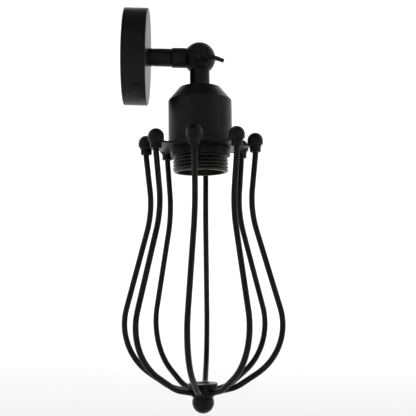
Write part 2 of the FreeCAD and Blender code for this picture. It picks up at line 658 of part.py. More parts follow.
def lampholder_cap():
    outside = turned([(0, CAP_TOP), (CAP_TOP_RADIUS, CAP_TOP), (CAP_RADIUS, CAP_SHOULDER),
                      (CAP_RADIUS, CAP_FOOT), (0, CAP_FOOT)])
    outside = round_edges(outside, CAP_EDGE_ROUND,
                          lambda edge: is_circle_at(CAP_TOP_RADIUS, CAP_TOP)(edge)
                          or is_circle_at(CAP_RADIUS, CAP_SHOULDER)(edge))
    inner_top_radius = CAP_TOP_RADIUS - CAP_WALL
    inside = turned([(0, CAP_TOP - CAP_WALL), (inner_top_radius, CAP_TOP - CAP_WALL),
                     (CAP_INNER_RADIUS, CAP_SHOULDER - CAP_WALL / 2.0),
                     (CAP_INNER_RADIUS, CAP_FOOT - OVERRUN), (0, CAP_FOOT - OVERRUN)])
    nipple_hole = bar_z(NIPPLE_RADIUS + THREAD_GAP, CAP_TOP - CAP_WALL - OVERRUN, CAP_TOP + OVERRUN)
    return outside.cut([inside, nipple_hole])


def skirt_thread_profile():
    """Outer corners of the skirt from the flange down: one V groove per pitch."""
    root = SKIRT_THREAD_RADIUS - SKIRT_THREAD_DEPTH
    slope = (SKIRT_THREAD_PITCH - SKIRT_THREAD_CREST) / 2.0
    corners = [(SKIRT_THREAD_RADIUS, FLANGE_FOOT)]
    for turn in range(int(SKIRT_LENGTH / SKIRT_THREAD_PITCH)):
        crest_end = FLANGE_FOOT - turn * SKIRT_THREAD_PITCH - SKIRT_THREAD_CREST
        corners.append((SKIRT_THREAD_RADIUS, crest_end))
        corners.append((root, crest_end - slope))
        corners.append((SKIRT_THREAD_RADIUS, crest_end - 2.0 * slope))
    last_crest = corners[-1][1]
    corners.append((SKIRT_THREAD_RADIUS, (last_crest + SKIRT_FOOT) / 2.0))
    corners.append((root, SKIRT_FOOT))
    return corners


def lampholder_body():
    """Flange, the spigot that screws into the cap, and the threaded skirt."""
    spigot_radius = CAP_INNER_RADIUS - THREAD_GAP
    profile = [(SKIRT_BORE_RADIUS, SPIGOT_TOP), (spigot_radius, SPIGOT_TOP),
               (spigot_radius, CAP_FOOT), (FLANGE_RADIUS - FLANGE_EDGE_ROUND, CAP_FOOT),
               (FLANGE_RADIUS, CAP_FOOT - FLANGE_EDGE_ROUND), (FLANGE_RADIUS, FLANGE_FOOT)]
    profile += skirt_thread_profile()
    profile.append((SKIRT_BORE_RADIUS, SKIRT_FOOT))
    return turned(profile)


def insulator():
    """Ceramic disc on the spigot, which carries the contacts and the wire terminals."""
    plug_radius = SKIRT_BORE_RADIUS - INSULATOR_PLUG_GAP
    rim_top = SPIGOT_TOP + INSULATOR_RIM_THICKNESS
    disc = turned([(0, INSULATOR_FACE), (plug_radius, INSULATOR_FACE), (plug_radius, SPIGOT_TOP),
                   (INSULATOR_RIM_RADIUS, SPIGOT_TOP), (INSULATOR_RIM_RADIUS, rim_top),
                   (0, rim_top)])
    rivet_hole = bar_z(RIVET_RADIUS, INSULATOR_FACE - OVERRUN, rim_top + OVERRUN, RIVET_X)
    return disc.cut([rivet_hole, shell_strap_space()])


def shell_strap_space():
    """Way through the insulator for the shell's contact strap."""
    rim_top = SPIGOT_TOP + INSULATOR_RIM_THICKNESS
    half = SHELL_STRAP_WIDTH / 2.0
    outer = SHELL_BORE_RADIUS
    return block(V(outer - SHELL_SHEET, -half, INSULATOR_FACE - OVERRUN),
                 V(outer, half, rim_top + OVERRUN))


def screw_shell():
    """Lamp screw shell: an open tube whose seat lies on the insulator."""
    outer = SHELL_BORE_RADIUS + SHELL_SHEET
    seat = INSULATOR_FACE - SHELL_SHEET
    return turned([(SHELL_SEAT_INNER_RADIUS, INSULATOR_FACE), (outer, INSULATOR_FACE),
                   (outer, INSULATOR_FACE - SHELL_DEPTH),
                   (SHELL_BORE_RADIUS, INSULATOR_FACE - SHELL_DEPTH),
                   (SHELL_BORE_RADIUS, seat), (SHELL_SEAT_INNER_RADIUS, seat)])


def shell_strap():
    """Strip from the shell's seat up through the insulator to its terminal."""
    rim_top = SPIGOT_TOP + INSULATOR_RIM_THICKNESS
    half = SHELL_STRAP_WIDTH / 2.0
    upright = block(V(SHELL_BORE_RADIUS - SHELL_SHEET, -half, INSULATOR_FACE),
                    V(SHELL_BORE_RADIUS, half, rim_top + SHELL_SHEET))
    foot = block(V(TERMINAL_OFFSET - TERMINAL_SIDE / 2.0, -half, rim_top),
                 V(SHELL_BORE_RADIUS, half, rim_top + SHELL_SHEET))
    return upright.fuse(foot).removeSplitter()


def contact_rivet():
    """Rivet and lug that hold the centre contact leaf under the insulator."""
    rim_top = SPIGOT_TOP + INSULATOR_RIM_THICKNESS
    half = LEAF_WIDTH / 2.0
    lug = block(V(-LUG_END, -half, INSULATOR_FACE - LEAF_THICKNESS),
                V(LUG_LENGTH - LUG_END, half, INSULATOR_FACE))
    stem = bar_z(RIVET_RADIUS, INSULATOR_FACE - LEAF_THICKNESS, rim_top, RIVET_X)
    return lug.fuse(stem).removeSplitter()


def contact_leaf():
    """Springy centre contact: it slopes down from its bend to a tip under the lamp axis."""
    root_top = INSULATOR_FACE - LEAF_BEND_GAP
    tip_top = root_top - LEAF_DROP
    outline = [V(-LEAF_ROOT, 0, root_top), V(-LEAF_TIP, 0, tip_top), V(LEAF_TIP, 0, tip_top),
               V(LEAF_TIP, 0, tip_top - LEAF_THICKNESS), V(-LEAF_TIP, 0, tip_top - LEAF_THICKNESS),
               V(-LEAF_ROOT, 0, root_top - LEAF_THICKNESS)]
    strip = Part.Face(Part.makePolygon(outline + outline[:1]))
    leaf = strip.extrude(V(0, LEAF_WIDTH, 0))
    leaf.translate(V(0, -LEAF_WIDTH / 2.0, 0))
    return leaf


def terminal_places():
    """(x, foot level) of the two wire terminals on the insulator."""
    rim_top = SPIGOT_TOP + INSULATOR_RIM_THICKNESS
    return [(-TERMINAL_OFFSET, rim_top), (TERMINAL_OFFSET, rim_top + SHELL_SHEET)]


def terminal_screw_spot(x, foot):
    """Foot of a terminal screw's head, on the near face of its terminal."""
    return V(x, -TERMINAL_SIDE / 2.0, foot + TERMINAL_HEIGHT / 2.0)


def holder_terminals():
    half = TERMINAL_SIDE / 2.0
    terminals = []
    for x, foot in terminal_places():
        body = block(V(x - half, -half, foot), V(x + half, half, foot + TERMINAL_HEIGHT))
        spot = terminal_screw_spot(x, foot)
        hole = bar_y(TERMINAL_SCREW_RADIUS + THREAD_GAP, spot.y - OVERRUN,
                     spot.y + TERMINAL_SCREW_LENGTH + HOLE_GAP, spot.x, spot.z)
        terminals.append(body.cut(hole))
    return Part.makeCompound(terminals)


def holder_terminal_screws():
    screw = slotted_screw(TERMINAL_SCREW_RADIUS, TERMINAL_SCREW_LENGTH, TERMINAL_SCREW_HEAD_RADIUS,
                          TERMINAL_SCREW_HEAD_HEIGHT)
    facing_out = laid_along_y(screw, -1)
    return Part.makeCompound([moved(facing_out, terminal_screw_spot(x, foot))
                              for x, foot in terminal_places()])


# ---- Cage ----------------------------------------------------------------------------
def rod_angles():
    """Azimuth of each rod's plane, counted from the +X direction."""
    step = FULL_TURN / ROD_COUNT
    return [-90.0 + ROD_TURN + step * index for index in range(ROD_COUNT)]


def around_axis(shape, angle):
    copy = shape.copy()
    copy.rotate(ORIGIN, Z_AXIS, angle)
    return copy


def cage_plate():
    """Flat plate with one ear per rod, clamped between the flange and the lock ring."""
    plate = bar_z(CAGE_PLATE_RADIUS, PLATE_FOOT, PLATE_TOP)
    for angle in rod_angles():
        tongue = block(V(0, -CAGE_EAR_RADIUS, PLATE_FOOT), V(ROD_CIRCLE, CAGE_EAR_RADIUS, PLATE_TOP))
        ear = tongue.fuse(bar_z(CAGE_EAR_RADIUS, PLATE_FOOT, PLATE_TOP, ROD_CIRCLE))
        plate = plate.fuse(around_axis(ear, angle))
    plate = plate.removeSplitter()
    ear_root = math.sqrt(CAGE_PLATE_RADIUS ** 2 - CAGE_EAR_RADIUS ** 2)
    def is_ear_corner(edge):
        if edge.Curve.TypeId != "Part::GeomLine" or abs(edge.Length - CAGE_SHEET) > MATCH:
            return False
        middle = edge.CenterOfMass
        along = [math.cos(math.radians(a)) * middle.x + math.sin(math.radians(a)) * middle.y
                 for a in rod_angles()]
        return abs(max(along) - ear_root) < MATCH
    plate = round_edges(plate, CAGE_EAR_FILLET, is_ear_corner)
    hole = bar_z(ROD_RADIUS + THREAD_GAP, PLATE_FOOT - OVERRUN, PLATE_TOP + OVERRUN, ROD_CIRCLE)
    holes = [around_axis(hole, angle) for angle in rod_angles()]
    holes.append(bar_z(SKIRT_THREAD_RADIUS + HOLE_GAP, PLATE_FOOT - OVERRUN, PLATE_TOP + OVERRUN))
    return plate.cut(holes)


def lock_ring():
    bore = SKIRT_THREAD_RADIUS + THREAD_GAP
    foot = PLATE_FOOT - LOCK_RING_HEIGHT
    rim = LOCK_RING_RADIUS - LOCK_RING_CHAMFER
    return turned([(bore, PLATE_FOOT), (rim, PLATE_FOOT),
                   (LOCK_RING_RADIUS, PLATE_FOOT - LOCK_RING_CHAMFER),
                   (LOCK_RING_RADIUS, foot + LOCK_RING_CHAMFER), (rim, foot), (bore, foot)])


def bent_path(corners, bends):
    """Straight runs joined by tangent arcs: one bend radius per inner corner."""
    pieces = []
    start = corners[0]
    for index, radius in enumerate(bends, start=1):
        corner = corners[index]
        back = corners[index - 1].sub(corner).normalize()
        ahead = corners[index + 1].sub(corner).normalize()
        half_opening = back.getAngle(ahead) / 2.0
        to_tangent = radius / math.tan(half_opening)
        to_centre = radius / math.sin(half_opening)
        inward = back.add(ahead).normalize()
        arc_start = corner.add(V(back).multiply(to_tangent))
        arc_end = corner.add(V(ahead).multiply(to_tangent))
        arc_middle = corner.add(V(inward).multiply(to_centre - radius))
        pieces.append(Part.LineSegment(start, arc_start).toShape())
        pieces.append(Part.Arc(arc_start, arc_middle, arc_end).toShape())
        start = arc_end
    pieces.append(Part.LineSegment(start, corners[-1]).toShape())
    return Part.Wire(pieces)


def swung(point, start, end, angle):
    """Turn a point about the line from start to end."""
    turn = FreeCAD.Rotation(end.sub(start), angle)
    return start.add(turn.multVec(point.sub(start)))


def cage_rod(sway):
    """One rod built near the +X half plane, from inside its ball nut to inside the hub."""
    top = V(ROD_CIRCLE, 0, PLATE_TOP + BALL_NUT_GRIP)
    neck = V(ROD_CIRCLE, 0, UNDER_NUT_FOOT - ROD_NECK_GAP)
    end = V(HUB_RADIUS - ROD_SOCKET_DEPTH, 0, HUB_FOOT + ROD_END_RISE)
    free_corners = [V(ROD_CIRCLE - ROD_WAIST_INSET, 0, UNDER_NUT_FOOT - ROD_WAIST_DROP),
                    V(ROD_CIRCLE + ROD_BULGE_OUTSET, 0, HUB_FOOT + ROD_BULGE_RISE),
                    V(HUB_RADIUS + ROD_FOOT_OUTSET, 0, HUB_FOOT + ROD_FOOT_RISE)]
    corners = [top, neck] + [swung(corner, neck, end, sway) for corner in free_corners] + [end]
    bends = [ROD_NECK_BEND, ROD_WAIST_BEND, ROD_BULGE_BEND, ROD_FOOT_BEND]
    section = Part.Wire(Part.makeCircle(ROD_RADIUS, top, Z_AXIS))
    return bent_path(corners, bends).makePipeShell([section], True, False)


def cage_rods():
    return [around_axis(cage_rod(sway), angle) for sway, angle in zip(ROD_SWAY, rod_angles())]


def ball_nuts():
    centre = V(ROD_CIRCLE, 0, BALL_NUT_CENTRE)
    below = bar_z(2.0 * BALL_NUT_RADIUS, PLATE_TOP - 2.0 * BALL_NUT_RADIUS, PLATE_TOP, ROD_CIRCLE)
    socket = bar_z(ROD_RADIUS + THREAD_GAP, PLATE_TOP - OVERRUN, PLATE_TOP + BALL_NUT_GRIP + HOLE_GAP,
                   ROD_CIRCLE)
    nut = Part.makeSphere(BALL_NUT_RADIUS, centre).cut([below, socket])
    return Part.makeCompound([around_axis(nut, angle) for angle in rod_angles()])


def under_nuts():
    bore = ROD_RADIUS + THREAD_GAP
    rim = UNDER_NUT_RADIUS - UNDER_NUT_CHAMFER
    nut = turned([(bore, PLATE_FOOT), (UNDER_NUT_RADIUS, PLATE_FOOT),
                  (UNDER_NUT_RADIUS, UNDER_NUT_FOOT + UNDER_NUT_CHAMFER), (rim, UNDER_NUT_FOOT),
                  (bore, UNDER_NUT_FOOT)])
    nut.translate(V(ROD_CIRCLE, 0, 0))
    return Part.makeCompound([around_axis(nut, angle) for angle in rod_angles()])


def cage_hub(rods):
    """Turned hub with a socket for each rod's foot and a sunk seat for the finial screw."""
    rim = HUB_RADIUS - HUB_CHAMFER
    hub = turned([(0, HUB_TOP), (rim, HUB_TOP), (HUB_RADIUS, HUB_TOP - HUB_CHAMFER),
                  (HUB_RADIUS - HUB_DRAFT, HUB_FOOT + HUB_TAPER_HEIGHT),
                  (HUB_FOOT_RADIUS, HUB_FOOT), (0, HUB_FOOT)])
    seat = bar_z(FINIAL_SCREW_HEAD_RADIUS + HOLE_GAP, HUB_TOP - FINIAL_SCREW_HEAD_HEIGHT,
                 HUB_TOP + OVERRUN)
    way = bar_z(FINIAL_SCREW_RADIUS + THREAD_GAP, HUB_FOOT - OVERRUN, HUB_TOP)
    return hub.cut([seat, way] + rods)


def finial_screw():
    head_foot = HUB_TOP - FINIAL_SCREW_HEAD_HEIGHT
    length = head_foot - HUB_FOOT + FINIAL_SCREW_GRIP
    screw = slotted_screw(FINIAL_SCREW_RADIUS, length, FINIAL_SCREW_HEAD_RADIUS,
                          FINIAL_SCREW_HEAD_HEIGHT)
    return moved(screw, V(0, 0, head_foot))


def finial_ball():
    above = bar_z(2.0 * FINIAL_RADIUS, HUB_FOOT, HUB_FOOT + 2.0 * FINIAL_RADIUS)
    socket = bar_z(FINIAL_SCREW_RADIUS + THREAD_GAP, HUB_FOOT - FINIAL_SCREW_GRIP - HOLE_GAP,
                   HUB_FOOT + OVERRUN)
    return Part.makeSphere(FINIAL_RADIUS, V(0, 0, FINIAL_CENTRE)).cut([above, socket])


# ---- Assembly ------------------------------------------------------------------------
def on_arm(shape):
    """Move a shape built about the pivot to the end of the arm."""
    return moved(shape, V(PIVOT_X, 0, 0))


def leaned(shape):
    """Lean a head piece away from the wall about the pivot, then move it to the arm."""
    copy = shape.copy()
    copy.rotate(ORIGIN, Y_AXIS, -REST_LEAN)
    return on_arm(copy)


def wall_side():
    return {
        "rose_cover": rose_cover(),
        "mounting_plate": mounting_plate(),
        "rose_side_screws": rose_side_screws(),
        "cable_grommet": cable_grommet(),
        "terminal_block": terminal_block(),
        "terminal_sleeves": terminal_sleeves(),
        "terminal_block_screws": terminal_block_screws(),
        "earth_screw": earth_screw(),
        "earth_washer": earth_washer(),
        "arm_washer": arm_washer(),
        "arm_nut": arm_nut(),
        "arm_nipple": arm_nipple(),
        "arm_tube": arm_tube(),
        "knuckle_fixed_half": on_arm(knuckle_fixed_half()),
        "friction_washer": on_arm(friction_washer()),
        "pivot_nut": on_arm(pivot_nut()),
    }


def lamp_head():
    rods = cage_rods()
    pieces = {
        "knuckle_moving_half": knuckle_moving_half(),
        "head_nipple": head_nipple(),
        "cap_washer": cap_washer(),
        "cap_nut": cap_nut(),
        "lampholder_cap": lampholder_cap(),
        "lampholder_body": lampholder_body(),
        "insulator": insulator(),
        "screw_shell": screw_shell(),
        "shell_strap": shell_strap(),
        "contact_rivet": contact_rivet(),
        "contact_leaf": contact_leaf(),
        "holder_terminals": holder_terminals(),
        "holder_terminal_screws": holder_terminal_screws(),
        "cage_plate": cage_plate(),
        "lock_ring": lock_ring(),
        "ball_nuts": ball_nuts(),
        "under_nuts": under_nuts(),
        "cage_hub": cage_hub(rods),
        "finial_screw": finial_screw(),
        "finial_ball": finial_ball(),
    }
    for number, shape in enumerate(rods, start=1):
        pieces["cage_rod_%d" % number] = shape
    return {name: leaned(shape) for name, shape in pieces.items()}


def main():
    os.makedirs("parts", exist_ok=True)
    nodes = wall_side()
    nodes.update(lamp_head())
    nodes["thumb_lever"] = on_arm(thumb_lever())
    for name, shape in nodes.items():
        shape.exportStep("parts/%s.step" % name)
        print("%-24s solids %d  volume %.1f  valid %s"
              % (name, len(shape.Solids), shape.Volume, shape.isValid()))


main()
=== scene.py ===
# %% [markdown]
# # A cage wall light
# The real object is a small wall lamp: a round rose on the wall, a short arm, a tilting knuckle
# with a thumb lever, a lampholder under a metal cap, and a balloon-shaped cage of eight bent rods.
# Almost everything on it is steel with a satin black powder coat.
#
# The shapes already exist as a measured model, so the lesson starts by loading it. Everything
# made here is built in metres, in the same place, and then dressed with a finish.

# %% Load the measured model
import json
import math

import bmesh
import bpy
from mathutils import Matrix, Vector


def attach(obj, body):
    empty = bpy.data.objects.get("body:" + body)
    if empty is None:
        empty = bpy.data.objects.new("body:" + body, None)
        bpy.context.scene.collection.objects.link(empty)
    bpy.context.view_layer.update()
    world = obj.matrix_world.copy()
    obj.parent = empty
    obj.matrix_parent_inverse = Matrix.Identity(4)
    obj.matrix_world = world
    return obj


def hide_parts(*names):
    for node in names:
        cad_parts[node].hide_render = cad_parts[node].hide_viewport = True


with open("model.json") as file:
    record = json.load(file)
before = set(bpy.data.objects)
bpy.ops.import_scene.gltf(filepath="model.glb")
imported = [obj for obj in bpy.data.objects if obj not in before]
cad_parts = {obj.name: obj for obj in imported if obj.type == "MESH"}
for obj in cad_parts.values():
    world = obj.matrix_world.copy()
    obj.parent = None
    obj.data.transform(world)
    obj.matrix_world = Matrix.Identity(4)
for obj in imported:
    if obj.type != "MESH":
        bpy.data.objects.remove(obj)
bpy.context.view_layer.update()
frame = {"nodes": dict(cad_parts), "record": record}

print("nodes:", len(frame["nodes"]))

# %% [markdown]
# ## Where things are
# The rose and arm are turned about the X axis, which points out of the wall. The lamp head is
# turned about its own axis, which starts at the knuckle's pivot and leans a little away from the
# wall. A matrix is the tidy way to say this once: each piece is made upright about Z and then
# multiplied into place, so no piece carries an odd position of its own. The levels are heights
# along the lamp's axis, in millimetres from the pivot down.

# %% Places
MM = 0.001
PIVOT_X = 54.1
HEAD_LEAN = math.radians(1.8)
ARM_PLACE = Matrix.Rotation(math.radians(90), 4, "Y")
HEAD_PLACE = Matrix.Translation((PIVOT_X * MM, 0, 0)) @ Matrix.Rotation(-HEAD_LEAN, 4, "Y")
CAP_TOP = -21.65
CONE_HEIGHT, CAP_HEIGHT = 9.8, 40.6
FLANGE_THICKNESS, SKIRT_LENGTH, SPIGOT_LENGTH = 2.2, 19.2, 10.5
SHELL_SINK, SHELL_LENGTH = 4.0, 22.5
PLATE_THICKNESS, UNDER_NUT_HEIGHT = 1.4, 4.0
CAGE_DROP, HUB_HEIGHT = 171.9, 9.6
CAP_SHOULDER = CAP_TOP - CONE_HEIGHT
CAP_FOOT = CAP_TOP - CAP_HEIGHT
FLANGE_FOOT = PLATE_TOP = CAP_FOOT - FLANGE_THICKNESS
SKIRT_FOOT = FLANGE_FOOT - SKIRT_LENGTH
SPIGOT_TOP = CAP_FOOT + SPIGOT_LENGTH
SHELL_TOP = SPIGOT_TOP - SHELL_SINK
SHELL_FOOT = SHELL_TOP - SHELL_LENGTH
PLATE_FOOT = PLATE_TOP - PLATE_THICKNESS
UNDER_NUT_FOOT = PLATE_FOOT - UNDER_NUT_HEIGHT
HUB_FOOT = UNDER_NUT_FOOT - CAGE_DROP
HUB_TOP = HUB_FOOT + HUB_HEIGHT
pivot = Vector(next(j for j in frame["record"]["behaviour"]["joints"]
                    if j["name"] == "knuckle_tilt")["pos_m"])
print("pivot is off by %.6f m" % (pivot - HEAD_PLACE.translation).length)

# %% [markdown]
# ## Camera
# The object is seen from its left side, almost level with the middle of the cage. The camera's
# place and lens were found by laying the model's outline over the picture's. It looks up by about
# five degrees, so no lens shift is needed, and it is rolled a little, as a hand-held camera is.

# %% Camera
CAMERA_LENS, CAMERA_SENSOR = 69.91, 36.0
CAMERA_PLACE = (57.21, -574.74, -160.33)
CAMERA_PITCH, CAMERA_YAW, CAMERA_ROLL = 0.08922, -0.00916, 0.02
camera_data = bpy.data.cameras.new("camera")
camera_data.lens = CAMERA_LENS
camera_data.sensor_width = CAMERA_SENSOR
camera = bpy.data.objects.new("camera", camera_data)
bpy.context.scene.collection.objects.link(camera)
bpy.context.scene.camera = camera
camera.matrix_world = (Matrix.Translation([value * MM for value in CAMERA_PLACE])
                       @ Matrix.Rotation(CAMERA_YAW, 4, "Z")
                       @ Matrix.Rotation(math.radians(90) + CAMERA_PITCH, 4, "X")
                       @ Matrix.Rotation(CAMERA_ROLL, 4, "Z"))
print("camera at", [round(v, 4) for v in camera.location])

# %% [markdown]
# ## Finishes
# A finish is more than a colour. A powder coat is melted on to the steel, so it has a very fine
# orange-peel skin, and its gloss varies slightly where the film is thicker. Both come from noise
# on the piece's own coordinates: one large soft noise moves the roughness, one small noise makes
# the bump. The helper below makes such a two-noise material, because every finish here is a
# variation of it.

# %% Helper for a finish
def link(tree, source, socket, target, name):
    tree.links.new(source.outputs[socket], target.inputs[name])


def noise_node(tree, scale, detail, stretch=None):
    """A noise on the piece's own coordinates, in turns per metre."""
    place = tree.nodes.new("ShaderNodeTexCoord")
    noise = tree.nodes.new("ShaderNodeTexNoise")
    noise.inputs["Scale"].default_value = scale
    noise.inputs["Detail"].default_value = detail
    if stretch is None:
        link(tree, place, "Object", noise, "Vector")
        return noise
    mapping = tree.nodes.new("ShaderNodeMapping")
    mapping.inputs["Scale"].default_value = stretch
    link(tree, place, "Object", mapping, "Vector")
    link(tree, mapping, "Vector", noise, "Vector")
    return noise


RAMP_START, RAMP_END = 0.3, 0.7


def ramp_between(tree, source, low, high):
    ramp = tree.nodes.new("ShaderNodeValToRGB")
    for stop, position, colour in zip(ramp.color_ramp.elements, (RAMP_START, RAMP_END), (low, high)):
        stop.position = position
        stop.color = (*colour, 1.0)
    link(tree, source, "Fac", ramp, "Fac")
    return ramp


def finish_material(name, dark, light, rough, bump, cloud=60.0, grain=1500.0, stretch=None,
                    metallic=0.0, coat=0.0, specular=0.5):
    """Colour and roughness drift with a cloudy noise; a fine noise makes the skin."""
    material = bpy.data.materials.new(name)
    material.use_nodes = True
    tree = material.node_tree
    shader = tree.nodes["Principled BSDF"]
    shader.inputs["Metallic"].default_value = metallic
    shader.inputs["Coat Weight"].default_value = coat
    shader.inputs["Coat Roughness"].default_value = 0.1
    shader.inputs["Specular IOR Level"].default_value = specular
    clouds = noise_node(tree, cloud, 3.0)
    link(tree, ramp_between(tree, clouds, dark, light), "Color", shader, "Base Color")
    spread = tree.nodes.new("ShaderNodeMapRange")
    spread.inputs["To Min"].default_value = rough[0]
    spread.inputs["To Max"].default_value = rough[1]
    link(tree, clouds, "Fac", spread, "Value")
    link(tree, spread, "Result", shader, "Roughness")
    skin = noise_node(tree, grain, 2.0, stretch)
    relief = tree.nodes.new("ShaderNodeBump")
    relief.inputs["Strength"].default_value = bump[0]
    relief.inputs["Distance"].default_value = bump[1]
    link(tree, skin, "Fac", relief, "Height")
    link(tree, relief, "Normal", shader, "Normal")
    material.diffuse_color = (*light, 1.0)
    return material


# %% [markdown]
# ### The finishes of this lamp
# The black coat is nearly black with a satin gloss. The lampholder's black is a moulded resin,
# smoother and a touch warmer. Hidden steel is zinc plated, the lamp's contacts are brass, the
# insulator is glazed ceramic, the knuckle's washer is red-brown fibre, and the grommet is rubber.

# %% Finishes
FINISHES = {
    "black_coat": finish_material("satin_black_coat", (0.003, 0.003, 0.0032),
                                  (0.005, 0.005, 0.0053), (0.3, 0.42), (0.2, 0.00012),
                                  cloud=38.0, grain=1300.0, specular=0.16),
    "black_moulding": finish_material("black_moulded_resin", (0.004, 0.0038, 0.0036),
                                      (0.006, 0.0057, 0.0054), (0.28, 0.38), (0.12, 0.0001),
                                      cloud=90.0, grain=2400.0, specular=0.35),
    "zinc_steel": finish_material("zinc_plated_steel", (0.5, 0.5, 0.49), (0.7, 0.7, 0.66),
                                  (0.28, 0.42), (0.15, 0.00008), cloud=120.0, grain=900.0,
                                  stretch=(1.0, 1.0, 9.0), metallic=1.0),
    "brass_metal": finish_material("rolled_brass", (0.52, 0.36, 0.12), (0.82, 0.63, 0.3),
                                   (0.2, 0.36), (0.12, 0.00006), cloud=160.0, grain=1200.0,
                                   stretch=(1.0, 1.0, 6.0), metallic=1.0),
    "white_moulding": finish_material("glazed_ceramic", (0.72, 0.69, 0.62), (0.84, 0.82, 0.77),
                                      (0.16, 0.28), (0.1, 0.0001), cloud=140.0, grain=1100.0,
                                      coat=0.4),
    "fibre": finish_material("vulcanised_fibre", (0.16, 0.07, 0.04), (0.33, 0.17, 0.1),
                             (0.6, 0.8), (0.35, 0.0001), cloud=700.0, grain=2500.0,
                             stretch=(1.0, 5.0, 1.0)),
    "grommet_rubber": finish_material("grommet_rubber", (0.018, 0.018, 0.018),
                                      (0.035, 0.034, 0.033), (0.62, 0.82), (0.3, 0.00015),
                                      cloud=220.0, grain=1800.0),
}
print("finishes:", ", ".join(FINISHES))

# %% [markdown]
# ## A tree that turns a profile on a lathe
# Most pieces of this lamp come off a lathe: the cap, the arm, the hub, the nuts. One Geometry
# Nodes tree can be that lathe. It takes a thin outline, rounds its corners, and lays a grid of
# points round the axis, one row for each point of the outline. A screw thread is the same
# grid pushed in by a wave that climbs one pitch for each turn, so the tree has thread inputs too.
# Spinning a curve by hand would do the plain pieces, but not the helix.

# %% Helpers for node trees
def tree_with(name, inputs):
    """A Geometry Nodes tree with named inputs, given as (name, kind)."""
    tree = bpy.data.node_groups.new(name, "GeometryNodeTree")
    for label, kind in inputs:
        tree.interface.new_socket(label, in_out="INPUT", socket_type="NodeSocket" + kind)
    tree.interface.new_socket("Mesh", in_out="OUTPUT", socket_type="NodeSocketGeometry")
    return tree, tree.nodes.new("NodeGroupInput"), tree.nodes.new("NodeGroupOutput")


def maths(tree, operation, first, second=None):
    """A Math node whose inputs are sockets or plain numbers."""
    node = tree.nodes.new("ShaderNodeMath")
    node.operation = operation
    for index, value in enumerate((first, second)):
        if value is None:
            continue
        if isinstance(value, (int, float)):
            node.inputs[index].default_value = value
        else:
            tree.links.new(value, node.inputs[index])
    return node.outputs[0]


def rounded_curve(tree, geometry, steps):
    """The input edges as one curve whose corners are rounded by their own bend radius."""
    bend = tree.nodes.new("GeometryNodeInputNamedAttribute")
    bend.data_type = "FLOAT"
    bend.inputs["Name"].default_value = "bend"
    curve = tree.nodes.new("GeometryNodeMeshToCurve")
    fillet = tree.nodes.new("GeometryNodeFilletCurve")
    fillet.mode = "POLY"
    tree.links.new(geometry, curve.inputs["Mesh"])
    tree.links.new(curve.outputs["Curve"], fillet.inputs["Curve"])
    tree.links.new(steps, fillet.inputs["Count"])
    tree.links.new(bend.outputs["Attribute"], fillet.inputs["Radius"])
    return fillet.outputs["Curve"]


def finish_tree(tree, geometry, group_in, group_out):
    """Smooth shading, realised copies and the material: the end of every tree here."""
    smooth = tree.nodes.new("GeometryNodeSetShadeSmooth")
    realise = tree.nodes.new("GeometryNodeRealizeInstances")
    paint = tree.nodes.new("GeometryNodeSetMaterial")
    tree.links.new(geometry, smooth.inputs["Geometry"])
    tree.links.new(smooth.outputs["Geometry"], realise.inputs["Geometry"])
    tree.links.new(realise.outputs["Geometry"], paint.inputs["Geometry"])
    tree.links.new(group_in.outputs["Material"], paint.inputs["Material"])
    tree.links.new(paint.outputs["Geometry"], group_out.inputs["Mesh"])


# %% The lathe tree
THREAD_SLOPE = 2.4
AXIS_MERGE = 2e-7


